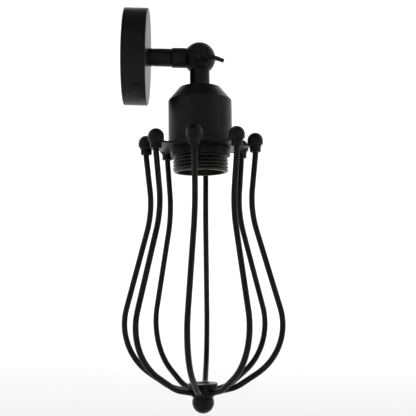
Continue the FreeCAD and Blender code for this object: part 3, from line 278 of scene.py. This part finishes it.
def lathe_tree():
    tree, group_in, group_out = tree_with("lathe", [
        ("Profile", "Geometry"), ("Steps Around", "Int"), ("Corner Steps", "Int"),
        ("Thread Pitch", "Float"), ("Thread Depth", "Float"), ("Thread Top", "Float"),
        ("Thread Foot", "Float"), ("Thread Inner Radius", "Float"), ("Material", "Material")])
    given = group_in.outputs
    curve = rounded_curve(tree, given["Profile"], given["Corner Steps"])
    count = tree.nodes.new("GeometryNodeAttributeDomainSize")
    count.component = "CURVE"
    tree.links.new(curve, count.inputs["Geometry"])
    row = maths(tree, "ADD", given["Steps Around"], 1.0)
    grid = tree.nodes.new("GeometryNodeMeshGrid")
    tree.links.new(count.outputs["Point Count"], grid.inputs["Vertices X"])
    tree.links.new(row, grid.inputs["Vertices Y"])
    index = tree.nodes.new("GeometryNodeInputIndex").outputs["Index"]
    profile_index = maths(tree, "FLOOR", maths(tree, "DIVIDE", maths(tree, "ADD", index, 0.5), row))
    step = maths(tree, "SUBTRACT", index, maths(tree, "MULTIPLY", profile_index, row))
    turn = maths(tree, "DIVIDE", step, given["Steps Around"])
    angle = maths(tree, "MULTIPLY", turn, 2.0 * math.pi)
    sample = tree.nodes.new("GeometryNodeSampleIndex")
    sample.data_type = "FLOAT_VECTOR"
    sample.domain = "POINT"
    place = tree.nodes.new("GeometryNodeInputPosition")
    tree.links.new(curve, sample.inputs["Geometry"])
    tree.links.new(place.outputs["Position"], sample.inputs["Value"])
    tree.links.new(profile_index, sample.inputs["Index"])
    split = tree.nodes.new("ShaderNodeSeparateXYZ")
    tree.links.new(sample.outputs["Value"], split.inputs[0])
    radius, height = split.outputs["X"], split.outputs["Z"]
    phase = maths(tree, "SUBTRACT", maths(tree, "DIVIDE", height, given["Thread Pitch"]), turn)
    saw = maths(tree, "ABSOLUTE", maths(tree, "SUBTRACT", maths(tree, "FRACT", phase), 0.5))
    wave = maths(tree, "SMOOTH_MIN", maths(tree, "MULTIPLY", saw, THREAD_SLOPE), 1.0)
    run_out = maths(tree, "MULTIPLY", given["Thread Pitch"], 0.5)
    below_top = maths(tree, "DIVIDE", maths(tree, "SUBTRACT", given["Thread Top"], height), run_out)
    above_foot = maths(tree, "DIVIDE", maths(tree, "SUBTRACT", height, given["Thread Foot"]), run_out)
    inside = maths(tree, "MINIMUM", below_top, above_foot)
    inside = maths(tree, "MAXIMUM", maths(tree, "MINIMUM", inside, 1.0), 0.0)
    outer = maths(tree, "GREATER_THAN", radius, given["Thread Inner Radius"])
    depth = maths(tree, "MULTIPLY", given["Thread Depth"], maths(tree, "SUBTRACT", 1.0, wave))
    depth = maths(tree, "MULTIPLY", maths(tree, "MAXIMUM", depth, 0.0),
                  maths(tree, "MULTIPLY", inside, outer))
    cut_radius = maths(tree, "SUBTRACT", radius, depth)
    join = tree.nodes.new("ShaderNodeCombineXYZ")
    tree.links.new(maths(tree, "MULTIPLY", cut_radius, maths(tree, "COSINE", angle)),
                   join.inputs["X"])
    tree.links.new(maths(tree, "MULTIPLY", cut_radius, maths(tree, "SINE", angle)),
                   join.inputs["Y"])
    tree.links.new(height, join.inputs["Z"])
    lay = tree.nodes.new("GeometryNodeSetPosition")
    tree.links.new(grid.outputs["Mesh"], lay.inputs["Geometry"])
    tree.links.new(join.outputs[0], lay.inputs["Position"])
    merge = tree.nodes.new("GeometryNodeMergeByDistance")
    merge.inputs["Distance"].default_value = AXIS_MERGE
    tree.links.new(lay.outputs["Geometry"], merge.inputs["Geometry"])
    finish_tree(tree, merge.outputs["Geometry"], group_in, group_out)
    return tree


LATHE = lathe_tree()
print("lathe tree has", len(LATHE.nodes), "nodes")

# %% [markdown]
# ## From a tree to a piece
# A modifier shows the tree's result, but a finished piece should be a plain mesh.

# %% Helpers that finish a piece
SHARP_CORNER = math.radians(38.0)


def edges_mesh(name, points):
    """Thin edges through (position in mm, bend radius in mm) points."""
    mesh = bpy.data.meshes.new(name)
    places = [[value * MM for value in place] for place, _ in points]
    mesh.from_pydata(places, [(i, i + 1) for i in range(len(points) - 1)], [])
    bend = mesh.attributes.new("bend", "FLOAT", "POINT")
    bend.data.foreach_set("value", [radius * MM for _, radius in points])
    return mesh


def run_tree(mesh, tree, values):
    """The plain mesh that a tree makes from some edges."""
    source = bpy.data.objects.new("tree_source", mesh)
    bpy.context.scene.collection.objects.link(source)
    modifier = source.modifiers.new("tree", "NODES")
    modifier.node_group = tree
    for item in tree.interface.items_tree:
        if item.in_out == "INPUT" and item.name in values:
            modifier[item.identifier] = values[item.name]
    graph = bpy.context.evaluated_depsgraph_get()
    made = bpy.data.meshes.new_from_object(source.evaluated_get(graph), depsgraph=graph)
    source.modifiers.remove(modifier)
    bpy.data.objects.remove(source)
    return made


def tidy(mesh):
    """Faces outwards, smooth, with an edge kept sharp only where it turns a real corner."""
    work = bmesh.new()
    work.from_mesh(mesh)
    bmesh.ops.recalc_face_normals(work, faces=work.faces)
    for face in work.faces:
        face.smooth = True
    for edge in work.edges:
        if len(edge.link_faces) == 2:
            edge.smooth = edge.calc_face_angle(0.0) < SHARP_CORNER
    work.to_mesh(mesh)
    work.free()


def add_piece(name, mesh, body, slot, nodes, place=None):
    """Links a finished mesh as a piece that rides on a body and stands for model nodes."""
    if place is not None:
        mesh.transform(place)
    tidy(mesh)
    piece = bpy.data.objects.new(name, mesh)
    bpy.context.scene.collection.objects.link(piece)
    if not mesh.materials:
        mesh.materials.append(FINISHES[slot])
    even = piece.modifiers.new("even_shading", "WEIGHTED_NORMAL")
    even.keep_sharp = True
    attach(piece, body)
    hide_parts(*nodes)
    print("%-22s %6d faces" % (name, len(mesh.polygons)))


def turned_mesh(profile, slot, steps=96, corner_steps=5, pitch=0.0, depth=0.0, top=0.0, foot=0.0,
                inner=0.0):
    """A lathe piece from (radius, height, corner radius) points in mm, closed on itself."""
    points = [((r, 0.0, z), round_radius) for r, z, round_radius in profile]
    points.append(points[0])
    return run_tree(edges_mesh("profile", points), LATHE, {
        "Steps Around": steps, "Corner Steps": corner_steps, "Thread Pitch": pitch * MM,
        "Thread Depth": depth * MM, "Thread Top": top * MM, "Thread Foot": foot * MM,
        "Thread Inner Radius": inner * MM, "Material": FINISHES[slot]})


def finely(start, end, spacing):
    """Points along a straight run of the profile, close enough to carry a thread."""
    count = max(1, round(math.dist(start, end) / spacing))
    return [(start[0] + (end[0] - start[0]) * i / count,
             start[1] + (end[1] - start[1]) * i / count, 0.0) for i in range(1, count)]


# %% [markdown]
# ## The cap over the lampholder
# The largest plain form on the lamp is a spun steel cap: a flat top, a cone, and a straight wall.
# Its profile has an outside and an inside, one sheet apart, so the cap is really hollow and can be
# looked into from below. The corner radii are what catch the light, so they are part of the
# profile rather than a bevel added later.

# %% Cap
NIPPLE_HOLE = 5.05
CAP_RADIUS, CAP_TOP_RADIUS, CAP_SHEET = 22.9, 14.65, 1.5
CAP_BORE = CAP_RADIUS - CAP_SHEET
CAP_PROFILE = [(NIPPLE_HOLE, CAP_TOP, 0.15), (CAP_TOP_RADIUS, CAP_TOP, 1.0),
               (CAP_RADIUS, CAP_SHOULDER, 1.1), (CAP_RADIUS, CAP_FOOT, 0.35),
               (CAP_BORE, CAP_FOOT, 0.35), (CAP_BORE, CAP_SHOULDER - CAP_SHEET / 2, 1.0),
               (CAP_TOP_RADIUS - CAP_SHEET, CAP_TOP - CAP_SHEET, 0.8),
               (NIPPLE_HOLE, CAP_TOP - CAP_SHEET, 0.1)]
add_piece("dressed_cap", turned_mesh(CAP_PROFILE, "black_coat", steps=160), "lamp_head",
          "black_coat", ["lampholder_cap"], HEAD_PLACE)

# %% [markdown]
# ## The threaded skirt
# Below the cap, the lampholder shows a moulded skirt with a coarse outer thread, on which a shade
# ring screws. The solid model draws closed grooves, which is enough for clearances. Here the lathe
# tree winds a true helix: the long straight wall of the profile gets a point every fifth of a
# millimetre, and the wave in the tree does the rest.

# %% Skirt with a true thread
SKIRT_RADIUS, SKIRT_BORE, SKIRT_LIP_RADIUS, SKIRT_CHAMFER = 20.0, 17.0, 18.8, 1.3
SPIGOT_RADIUS, FLANGE_RADIUS = 21.3, 25.3
skirt_start, skirt_end = (SKIRT_RADIUS, FLANGE_FOOT), (SKIRT_RADIUS, SKIRT_FOOT + SKIRT_CHAMFER)
SKIRT_PROFILE = ([(SKIRT_BORE, SPIGOT_TOP, 0.0), (SPIGOT_RADIUS, SPIGOT_TOP, 0.3),
                  (SPIGOT_RADIUS, CAP_FOOT, 0.0), (FLANGE_RADIUS, CAP_FOOT, 0.5),
                  (FLANGE_RADIUS, FLANGE_FOOT, 0.3), (*skirt_start, 0.0)]
                 + finely(skirt_start, skirt_end, 0.2)
                 + [(*skirt_end, 0.3), (SKIRT_LIP_RADIUS, SKIRT_FOOT, 0.3),
                    (SKIRT_BORE, SKIRT_FOOT, 0.4)])
skirt = turned_mesh(SKIRT_PROFILE, "black_moulding", steps=128, corner_steps=3, pitch=2.5,
                    depth=1.25, top=FLANGE_FOOT - 0.4, foot=SKIRT_FOOT + 0.5, inner=18.5)
add_piece("dressed_skirt", skirt, "lamp_head", "black_moulding", ["lampholder_body"], HEAD_PLACE)

# %% [markdown]
# ## The brass shell and its rolled thread
# A lamp screws into a thin brass shell whose thread is rolled, so the inside and the outside wave
# together. The same tree makes it, because the wave moves every point outside the inner radius.

# %% Screw shell
SHELL_RADIUS, SHELL_SHEET, SHELL_RIM = 13.8, 0.5, 10.2
SHELL_BORE, SHELL_CEILING = SHELL_RADIUS - SHELL_SHEET, SHELL_TOP - SHELL_SHEET
SHELL_PROFILE = ([(SHELL_RIM, SHELL_TOP, 0.0), (SHELL_RADIUS, SHELL_TOP, 0.3)]
                 + finely((SHELL_RADIUS, SHELL_CEILING), (SHELL_RADIUS, SHELL_FOOT), 0.3)
                 + [(SHELL_RADIUS, SHELL_FOOT, 0.2), (SHELL_BORE, SHELL_FOOT, 0.2)]
                 + finely((SHELL_BORE, SHELL_FOOT), (SHELL_BORE, SHELL_CEILING), 0.3)
                 + [(SHELL_BORE, SHELL_CEILING, 0.2), (SHELL_RIM, SHELL_CEILING, 0.0)])
shell = turned_mesh(SHELL_PROFILE, "brass_metal", steps=96, corner_steps=3, pitch=3.62,
                    depth=1.1, top=SHELL_TOP - 3.0, foot=SHELL_FOOT, inner=12.0)
add_piece("dressed_shell", shell, "lamp_head", "brass_metal", ["screw_shell"], HEAD_PLACE)

# %% [markdown]
# ## The arm
# The arm is a steel tube with one shallow turned groove near the rose. It is a lathe piece that
# lies on its side, so the same profile helper makes it and another matrix lays it along X.

# %% Arm tube
ARM_START, ARM_END, ARM_RADIUS = 17.0, 33.8, 6.5
GROOVE_START, GROOVE_END, GROOVE_RADIUS = 20.4, 21.1, 6.15
ARM_PROFILE = [(NIPPLE_HOLE, ARM_START, 0.0), (ARM_RADIUS - 0.1, ARM_START, 0.15),
               (ARM_RADIUS, ARM_START + 0.5, 0.1), (ARM_RADIUS, GROOVE_START, 0.08),
               (GROOVE_RADIUS, GROOVE_START, 0.08), (GROOVE_RADIUS, GROOVE_END, 0.08),
               (ARM_RADIUS, GROOVE_END, 0.08), (ARM_RADIUS, ARM_END, 0.15),
               (NIPPLE_HOLE, ARM_END, 0.0)]
add_piece("dressed_arm_tube", turned_mesh(ARM_PROFILE, "black_coat"), "wall_side", "black_coat",
          ["arm_tube"], ARM_PLACE)

# %% [markdown]
# ## Nipples with fine threads
# Two hollow threaded nipples hold the arm and the cap. Their M10 thread has a pitch of one
# millimetre, which is a finer setting of the same tree.

# %% Threaded nipples
NIPPLE_RADIUS, NIPPLE_BORE, NIPPLE_CHAMFER = 5.0, 3.6, 0.3


def nipple_mesh(low, high):
    rim = NIPPLE_RADIUS - NIPPLE_CHAMFER
    start, end = (NIPPLE_RADIUS, high - NIPPLE_CHAMFER), (NIPPLE_RADIUS, low + NIPPLE_CHAMFER)
    profile = ([(NIPPLE_BORE, high, 0.0), (rim, high, 0.0), (*start, 0.0)]
               + finely(start, end, 0.14)
               + [(*end, 0.0), (rim, low, 0.0), (NIPPLE_BORE, low, 0.0)])
    return turned_mesh(profile, "zinc_steel", steps=64, corner_steps=1, pitch=1.0, depth=0.5,
                       top=high, foot=low, inner=4.2)


add_piece("dressed_arm_nipple", nipple_mesh(10.1, 41.8), "wall_side", "zinc_steel",
          ["arm_nipple"], ARM_PLACE)
add_piece("dressed_head_nipple", nipple_mesh(CAP_TOP - 7.4, CAP_TOP + 8.0), "lamp_head",
          "zinc_steel", ["head_nipple"], HEAD_PLACE)

# %% [markdown]
# ## Bent rods
# Each rod of the cage is one length of round bar, bent at four places. In the tree the straight
# runs between corners become one curve, a Fillet Curve node rounds each corner by its own bend
# radius, and Curve to Mesh sweeps a circle along it. The corners are the same as in the solid
# model. Every rod also swings a few degrees sideways, since the real ones are bent by hand.

# %% The rod tree
def rod_tree():
    tree, group_in, group_out = tree_with("bent_rod", [
        ("Corners", "Geometry"), ("Rod Radius", "Float"), ("Sides", "Int"), ("Bend Steps", "Int"),
        ("Material", "Material")])
    given = group_in.outputs
    curve = rounded_curve(tree, given["Corners"], given["Bend Steps"])
    circle = tree.nodes.new("GeometryNodeCurvePrimitiveCircle")
    tree.links.new(given["Sides"], circle.inputs["Resolution"])
    tree.links.new(given["Rod Radius"], circle.inputs["Radius"])
    sweep = tree.nodes.new("GeometryNodeCurveToMesh")
    sweep.inputs["Fill Caps"].default_value = True
    tree.links.new(curve, sweep.inputs["Curve"])
    tree.links.new(circle.outputs["Curve"], sweep.inputs["Profile Curve"])
    finish_tree(tree, sweep.outputs["Mesh"], group_in, group_out)
    return tree


ROD = rod_tree()

# %% The eight rods
ROD_CIRCLE, ROD_RADIUS = 39.4, 2.05
ROD_SWAY = (5.8, 9.1, -2.0, 7.0, -3.1, 1.1, 5.1, 0.8)
ROD_STEP = 360.0 / len(ROD_SWAY)
FIRST_ROD = -96.0
WAIST_RADIUS, WAIST_DROP = 35.2, 41.3
BULGE_RADIUS, BULGE_RISE = 63.3, 32.3
FOOT_RADIUS, FOOT_RISE = 23.3, 6.5
NECK_BEND, WAIST_BEND, BULGE_BEND, FOOT_BEND = 30.0, 78.0, 41.0, 26.0


def swung(point, start, end, degrees):
    """A point turned about the line from start to end."""
    turn = Matrix.Rotation(math.radians(degrees), 3, (end - start).normalized())
    return start + turn @ (point - start)


def rod_corners(sway):
    neck = Vector((ROD_CIRCLE, 0, UNDER_NUT_FOOT - 2.0))
    end = Vector((7.1, 0, HUB_FOOT + 3.0))
    waist, bulge, foot = (swung(Vector(point), neck, end, sway) for point in (
        (WAIST_RADIUS, 0, UNDER_NUT_FOOT - WAIST_DROP), (BULGE_RADIUS, 0, HUB_FOOT + BULGE_RISE),
        (FOOT_RADIUS, 0, HUB_FOOT + FOOT_RISE)))
    top = Vector((ROD_CIRCLE, 0, PLATE_TOP + 4.2))
    return [(top, 0.0), (neck, NECK_BEND), (waist, WAIST_BEND), (bulge, BULGE_BEND),
            (foot, FOOT_BEND), (end, 0.0)]


for number, sway in enumerate(ROD_SWAY, start=1):
    turn = Matrix.Rotation(math.radians(FIRST_ROD + ROD_STEP * (number - 1)), 4, "Z")
    rod = run_tree(edges_mesh("rod_corners", rod_corners(sway)), ROD, {
        "Rod Radius": ROD_RADIUS * MM, "Sides": 32, "Bend Steps": 36,
        "Material": FINISHES["black_coat"]})
    add_piece("dressed_rod_%d" % number, rod, "lamp_head", "black_coat",
              ["cage_rod_%d" % number], HEAD_PLACE @ turn)

# %% [markdown]
# ## Nuts in a ring
# Each rod is held in the plate by a ball nut above, which has a short straight flank under its
# dome, and a plain round nut below. One nut is turned on the lathe, and a second small tree places
# it eight times round the axis. Instances cost nothing while the tree works, and they are realised
# at its end.

# %% The ring tree
def ring_tree():
    tree, group_in, group_out = tree_with("ring_of_pieces", [
        ("Piece", "Geometry"), ("Count", "Int"), ("Ring Radius", "Float"), ("First Turn", "Float"),
        ("Material", "Material")])
    given = group_in.outputs
    line = tree.nodes.new("GeometryNodePoints")
    tree.links.new(given["Count"], line.inputs["Count"])
    index = tree.nodes.new("GeometryNodeInputIndex").outputs["Index"]
    step = maths(tree, "DIVIDE", 2.0 * math.pi, given["Count"])
    angle = maths(tree, "ADD", maths(tree, "MULTIPLY", index, step), given["First Turn"])
    place = tree.nodes.new("ShaderNodeCombineXYZ")
    tree.links.new(maths(tree, "MULTIPLY", given["Ring Radius"], maths(tree, "COSINE", angle)),
                   place.inputs["X"])
    tree.links.new(maths(tree, "MULTIPLY", given["Ring Radius"], maths(tree, "SINE", angle)),
                   place.inputs["Y"])
    tree.links.new(place.outputs[0], line.inputs["Position"])
    turn = tree.nodes.new("ShaderNodeCombineXYZ")
    tree.links.new(angle, turn.inputs["Z"])
    copies = tree.nodes.new("GeometryNodeInstanceOnPoints")
    tree.links.new(line.outputs[0], copies.inputs["Points"])
    tree.links.new(given["Piece"], copies.inputs["Instance"])
    tree.links.new(turn.outputs[0], copies.inputs["Rotation"])
    finish_tree(tree, copies.outputs["Instances"], group_in, group_out)
    return tree


RING = ring_tree()


def ring_of(mesh, slot):
    return run_tree(mesh, RING, {
        "Count": len(ROD_SWAY), "Ring Radius": ROD_CIRCLE * MM, "First Turn": math.radians(FIRST_ROD),
        "Material": FINISHES[slot]})


# %% Ball nuts and under nuts
NUT_BORE = 2.1
BALL_NUT_RADIUS, BALL_NUT_STAND, BALL_NUT_CHAMFER, BALL_NUT_SOCKET = 5.6, 3.1, 0.5, 4.4
UNDER_NUT_RADIUS, UNDER_NUT_CHAMFER = 4.0, 0.5
BALL_NUT_CENTRE, SOCKET_END = PLATE_TOP + BALL_NUT_STAND, PLATE_TOP + BALL_NUT_SOCKET


def ball_arc(radius, centre, start, end, steps):
    """Profile points along a ball, between two angles above its equator, in degrees."""
    angles = [math.radians(start + (end - start) * i / steps) for i in range(steps + 1)]
    return [(radius * math.cos(a), centre + radius * math.sin(a), 0.0) for a in angles]


ball_nut = [(NUT_BORE, PLATE_TOP, 0.0), (BALL_NUT_RADIUS - BALL_NUT_CHAMFER, PLATE_TOP, 0.1),
            (BALL_NUT_RADIUS, PLATE_TOP + BALL_NUT_CHAMFER, 0.2)]
ball_nut += ball_arc(BALL_NUT_RADIUS, BALL_NUT_CENTRE, 0.0, 90.0, 22)[:-1]
ball_nut += [(0.0, BALL_NUT_CENTRE + BALL_NUT_RADIUS, 0.0), (0.0, SOCKET_END, 0.0),
             (NUT_BORE, SOCKET_END, 0.0)]
add_piece("dressed_ball_nuts", ring_of(turned_mesh(ball_nut, "black_coat", steps=40), "black_coat"),
          "lamp_head", "black_coat", ["ball_nuts"], HEAD_PLACE)
UNDER_NUT = [(NUT_BORE, PLATE_FOOT, 0.0), (UNDER_NUT_RADIUS, PLATE_FOOT, 0.15),
             (UNDER_NUT_RADIUS, UNDER_NUT_FOOT + UNDER_NUT_CHAMFER, 0.25),
             (UNDER_NUT_RADIUS - UNDER_NUT_CHAMFER, UNDER_NUT_FOOT, 0.2),
             (NUT_BORE, UNDER_NUT_FOOT, 0.1)]
add_piece("dressed_under_nuts",
          ring_of(turned_mesh(UNDER_NUT, "black_coat", steps=40), "black_coat"),
          "lamp_head", "black_coat", ["under_nuts"], HEAD_PLACE)

# %% [markdown]
# ## Hub, finial and lock ring
# The rods meet in a turned hub, whose lower half tapers in, and a ball finial screws up against
# it. The lock ring is a plain threaded ring that clamps the cage plate against the flange.

# %% Hub, finial and lock ring
SCREW_WAY, SCREW_SEAT, SEAT_DEPTH = 2.55, 4.6, 2.6
HUB_RADIUS, HUB_TAPER_RADIUS, HUB_FOOT_RADIUS, HUB_TAPER_HEIGHT = 10.3, 9.5, 7.6, 3.4
FINIAL_RADIUS, FINIAL_CUT, FINIAL_WAY = 7.7, 4.0, 7.6
LOCK_RING_BORE, LOCK_RING_RADIUS, LOCK_RING_HEIGHT = 20.05, 21.4, 6.4
HUB_PROFILE = [(SCREW_WAY, HUB_FOOT, 0.0), (HUB_FOOT_RADIUS, HUB_FOOT, 0.5),
               (HUB_TAPER_RADIUS, HUB_FOOT + HUB_TAPER_HEIGHT, 1.2), (HUB_RADIUS, HUB_TOP - 1.6, 0.6),
               (HUB_RADIUS, HUB_TOP, 0.5), (SCREW_SEAT, HUB_TOP, 0.2),
               (SCREW_SEAT, HUB_TOP - SEAT_DEPTH, 0.0), (SCREW_WAY, HUB_TOP - SEAT_DEPTH, 0.0)]
add_piece("dressed_hub", turned_mesh(HUB_PROFILE, "black_coat", steps=112), "lamp_head",
          "black_coat", ["cage_hub"], HEAD_PLACE)
FINIAL_CENTRE = HUB_FOOT - (FINIAL_RADIUS - FINIAL_CUT)
finial = [(SCREW_WAY, HUB_FOOT, 0.0), (SCREW_WAY, HUB_FOOT - FINIAL_WAY, 0.0),
          (0.0, HUB_FOOT - FINIAL_WAY, 0.0), (0.0, FINIAL_CENTRE - FINIAL_RADIUS, 0.0)]
finial_flat = math.degrees(math.asin((HUB_FOOT - FINIAL_CENTRE) / FINIAL_RADIUS))
finial += ball_arc(FINIAL_RADIUS, FINIAL_CENTRE, -90.0, finial_flat, 40)[1:]
add_piece("dressed_finial", turned_mesh(finial, "black_coat", steps=96), "lamp_head",
          "black_coat", ["finial_ball"], HEAD_PLACE)
ring_foot = PLATE_FOOT - LOCK_RING_HEIGHT
LOCK_RING = [(LOCK_RING_BORE, PLATE_FOOT, 0.0), (LOCK_RING_RADIUS, PLATE_FOOT, 0.3),
             (LOCK_RING_RADIUS, ring_foot, 0.6), (LOCK_RING_BORE, ring_foot, 0.2)]
add_piece("dressed_lock_ring", turned_mesh(LOCK_RING, "black_coat", steps=128), "lamp_head",
          "black_coat", ["lock_ring"], HEAD_PLACE)

# %% [markdown]
# ## Softened copies of the model's own parts
# Some parts are not simple turned shapes: the half balls of the knuckle, the nut on its screw, the
# lever and the cage plate. Their shapes are right already, but a real coated edge is never razor
# sharp. A copy of the node is merged, its flat triangles are joined into whole faces, and the
# sharp edges get a small bevel. The bevel is what makes the thin lines of light along the edges.

# %% Helper for softened copies
SAME_POINT = 2e-6
FLAT_LIMIT, BEVEL_LIMIT = math.radians(0.5), math.radians(32.0)


def softened(node, width, body, slot):
    work = bmesh.new()
    work.from_mesh(frame["nodes"][node].data)
    bmesh.ops.remove_doubles(work, verts=work.verts, dist=SAME_POINT)
    bmesh.ops.dissolve_limit(work, angle_limit=FLAT_LIMIT, verts=work.verts, edges=work.edges)
    sharp = [edge for edge in work.edges if len(edge.link_faces) == 2
             and edge.calc_face_angle(0.0) > BEVEL_LIMIT]
    bmesh.ops.bevel(work, geom=sharp, offset=width * MM, segments=2, profile=0.5,
                    affect="EDGES", clamp_overlap=False)
    mesh = bpy.data.meshes.new("dressed_" + node)
    work.to_mesh(mesh)
    work.free()
    mesh.materials.append(FINISHES[slot])
    add_piece("dressed_" + node, mesh, body, slot, [node])


# %% Knuckle, lever, plate
for node, width, body in (("knuckle_fixed_half", 0.2, "wall_side"),
                          ("knuckle_moving_half", 0.2, "lamp_head"),
                          ("pivot_nut", 0.15, "wall_side"), ("cage_plate", 0.2, "lamp_head"),
                          ("thumb_lever", 0.15, "thumb_lever_body")):
    softened(node, width, body, "black_coat")

# %% [markdown]
# ## The parts that stay as they are
# The rose is a plain cup with two small screws in its side, and its solid already has its
# edges and its screw seats. Washers, terminals and the other inner parts are seen only from behind
# or when the lamp is taken apart. Each of these keeps its mesh and only gets its finish.

# %% Finishes for the remaining nodes
for part in frame["record"]["subparts"]:
    shown = frame["nodes"][part["node"]]
    shown.data.materials.clear()
    shown.data.materials.append(FINISHES[part["material_slot"]])

# %% [markdown]
# ## A plain studio
# The picture has a plain white ground and large soft lights. A round pale floor lies just below
# the finial and curves up into a wall, like a bowl, so no corner shows from any side. Lights that
# reach only the paper keep it white, and four soft lights reach the lamp. A black coat shows
# little but reflections, so the long soft highlights are what the eye reads its shape by.

# %% Paper bowl
BOWL_RADIUS, BOWL_BEND, BOWL_HEIGHT, BOWL_FLOOR = 3.4, 1.3, 4.6, -0.27
BOWL_SIDES, BEND_STEPS = 96, 16


def paper_bowl():
    """A round floor that curves up into a wall, seen from inside."""
    section = [(0.05, BOWL_FLOOR), (1.0, BOWL_FLOOR), (BOWL_RADIUS - BOWL_BEND, BOWL_FLOOR)]
    for i in range(1, BEND_STEPS + 1):
        a = math.radians(90.0 * i / BEND_STEPS)
        section.append((BOWL_RADIUS - BOWL_BEND * (1 - math.sin(a)),
                        BOWL_FLOOR + BOWL_BEND * (1 - math.cos(a))))
    section.append((BOWL_RADIUS, BOWL_HEIGHT))
    turns = [2 * math.pi * i / BOWL_SIDES for i in range(BOWL_SIDES)]
    vertices = [(r * math.cos(t), r * math.sin(t), z) for r, z in section for t in turns]
    faces = [tuple(range(BOWL_SIDES))]
    for row in range(0, (len(section) - 1) * BOWL_SIDES, BOWL_SIDES):
        for i in range(BOWL_SIDES):
            j = (i + 1) % BOWL_SIDES
            faces.append((row + i, row + BOWL_SIDES + i, row + BOWL_SIDES + j, row + j))
    mesh = bpy.data.meshes.new("studio_paper")
    mesh.from_pydata(vertices, [], faces)
    for polygon in mesh.polygons:
        polygon.use_smooth = len(polygon.vertices) == 4
    return mesh


floor = bpy.data.objects.new("studio_paper", paper_bowl())
bpy.context.scene.collection.objects.link(floor)
paper = finish_material("studio_paper", (0.80, 0.80, 0.80), (0.82, 0.82, 0.82), (0.85, 0.95),
                        (0.02, 0.0005), cloud=3.0, grain=400.0, specular=0.1)
floor.data.materials.append(paper)

# %% Lights
WORLD_STRENGTH = 0.02


def area_light(name, place, target, size, power, height=None):
    """A rectangular light in metres and watts, turned towards its target."""
    data = bpy.data.lights.new(name, "AREA")
    data.shape = "RECTANGLE"
    data.size = size
    data.size_y = height or size
    data.energy = power
    light = bpy.data.objects.new(name, data)
    bpy.context.scene.collection.objects.link(light)
    aim = (Vector(target) - Vector(place)).to_track_quat("-Z", "Y").to_matrix().to_4x4()
    light.matrix_world = Matrix.Translation(place) @ aim
    return light


area_light("left_softbox", (-1.1, -0.9, 0.45), (0.05, 0, -0.1), 0.9, 1.1)
area_light("right_softbox", (1.3, -0.7, 0.2), (0.05, 0, -0.12), 0.8, 0.95)
area_light("low_front", (0.2, -1.2, -0.2), (0.05, 0, -0.2), 0.5, 0.1, 0.2)
area_light("top_light", (0.1, 0.1, 1.4), (0.05, 0, -0.1), 1.2, 0.8)
ground_lights = [area_light("ground_light", (0.0, 1.6, 3.6), (0.0, 2.0, -0.2), 4.0, 92.0, 2.4),
                 area_light("backdrop_light", (0.0, 1.2, 2.6), (0.0, 3.4, 0.7), 4.0, 60.0, 0.8),
                 area_light("room_light", (0.0, 0.0, 4.4), (0.0, 0.0, 0.0), 3.0, 2.0)]
paper_only = bpy.data.collections.new("paper_only")
paper_only.objects.link(floor)
for light in ground_lights:
    light.light_linking.receiver_collection = paper_only
world = bpy.data.worlds.new("studio")
world.use_nodes = True
world.node_tree.nodes["Background"].inputs["Color"].default_value = (1.0, 1.0, 1.0, 1.0)
world.node_tree.nodes["Background"].inputs["Strength"].default_value = WORLD_STRENGTH
bpy.context.scene.world = world
bpy.context.scene.view_settings.view_transform = "Standard"
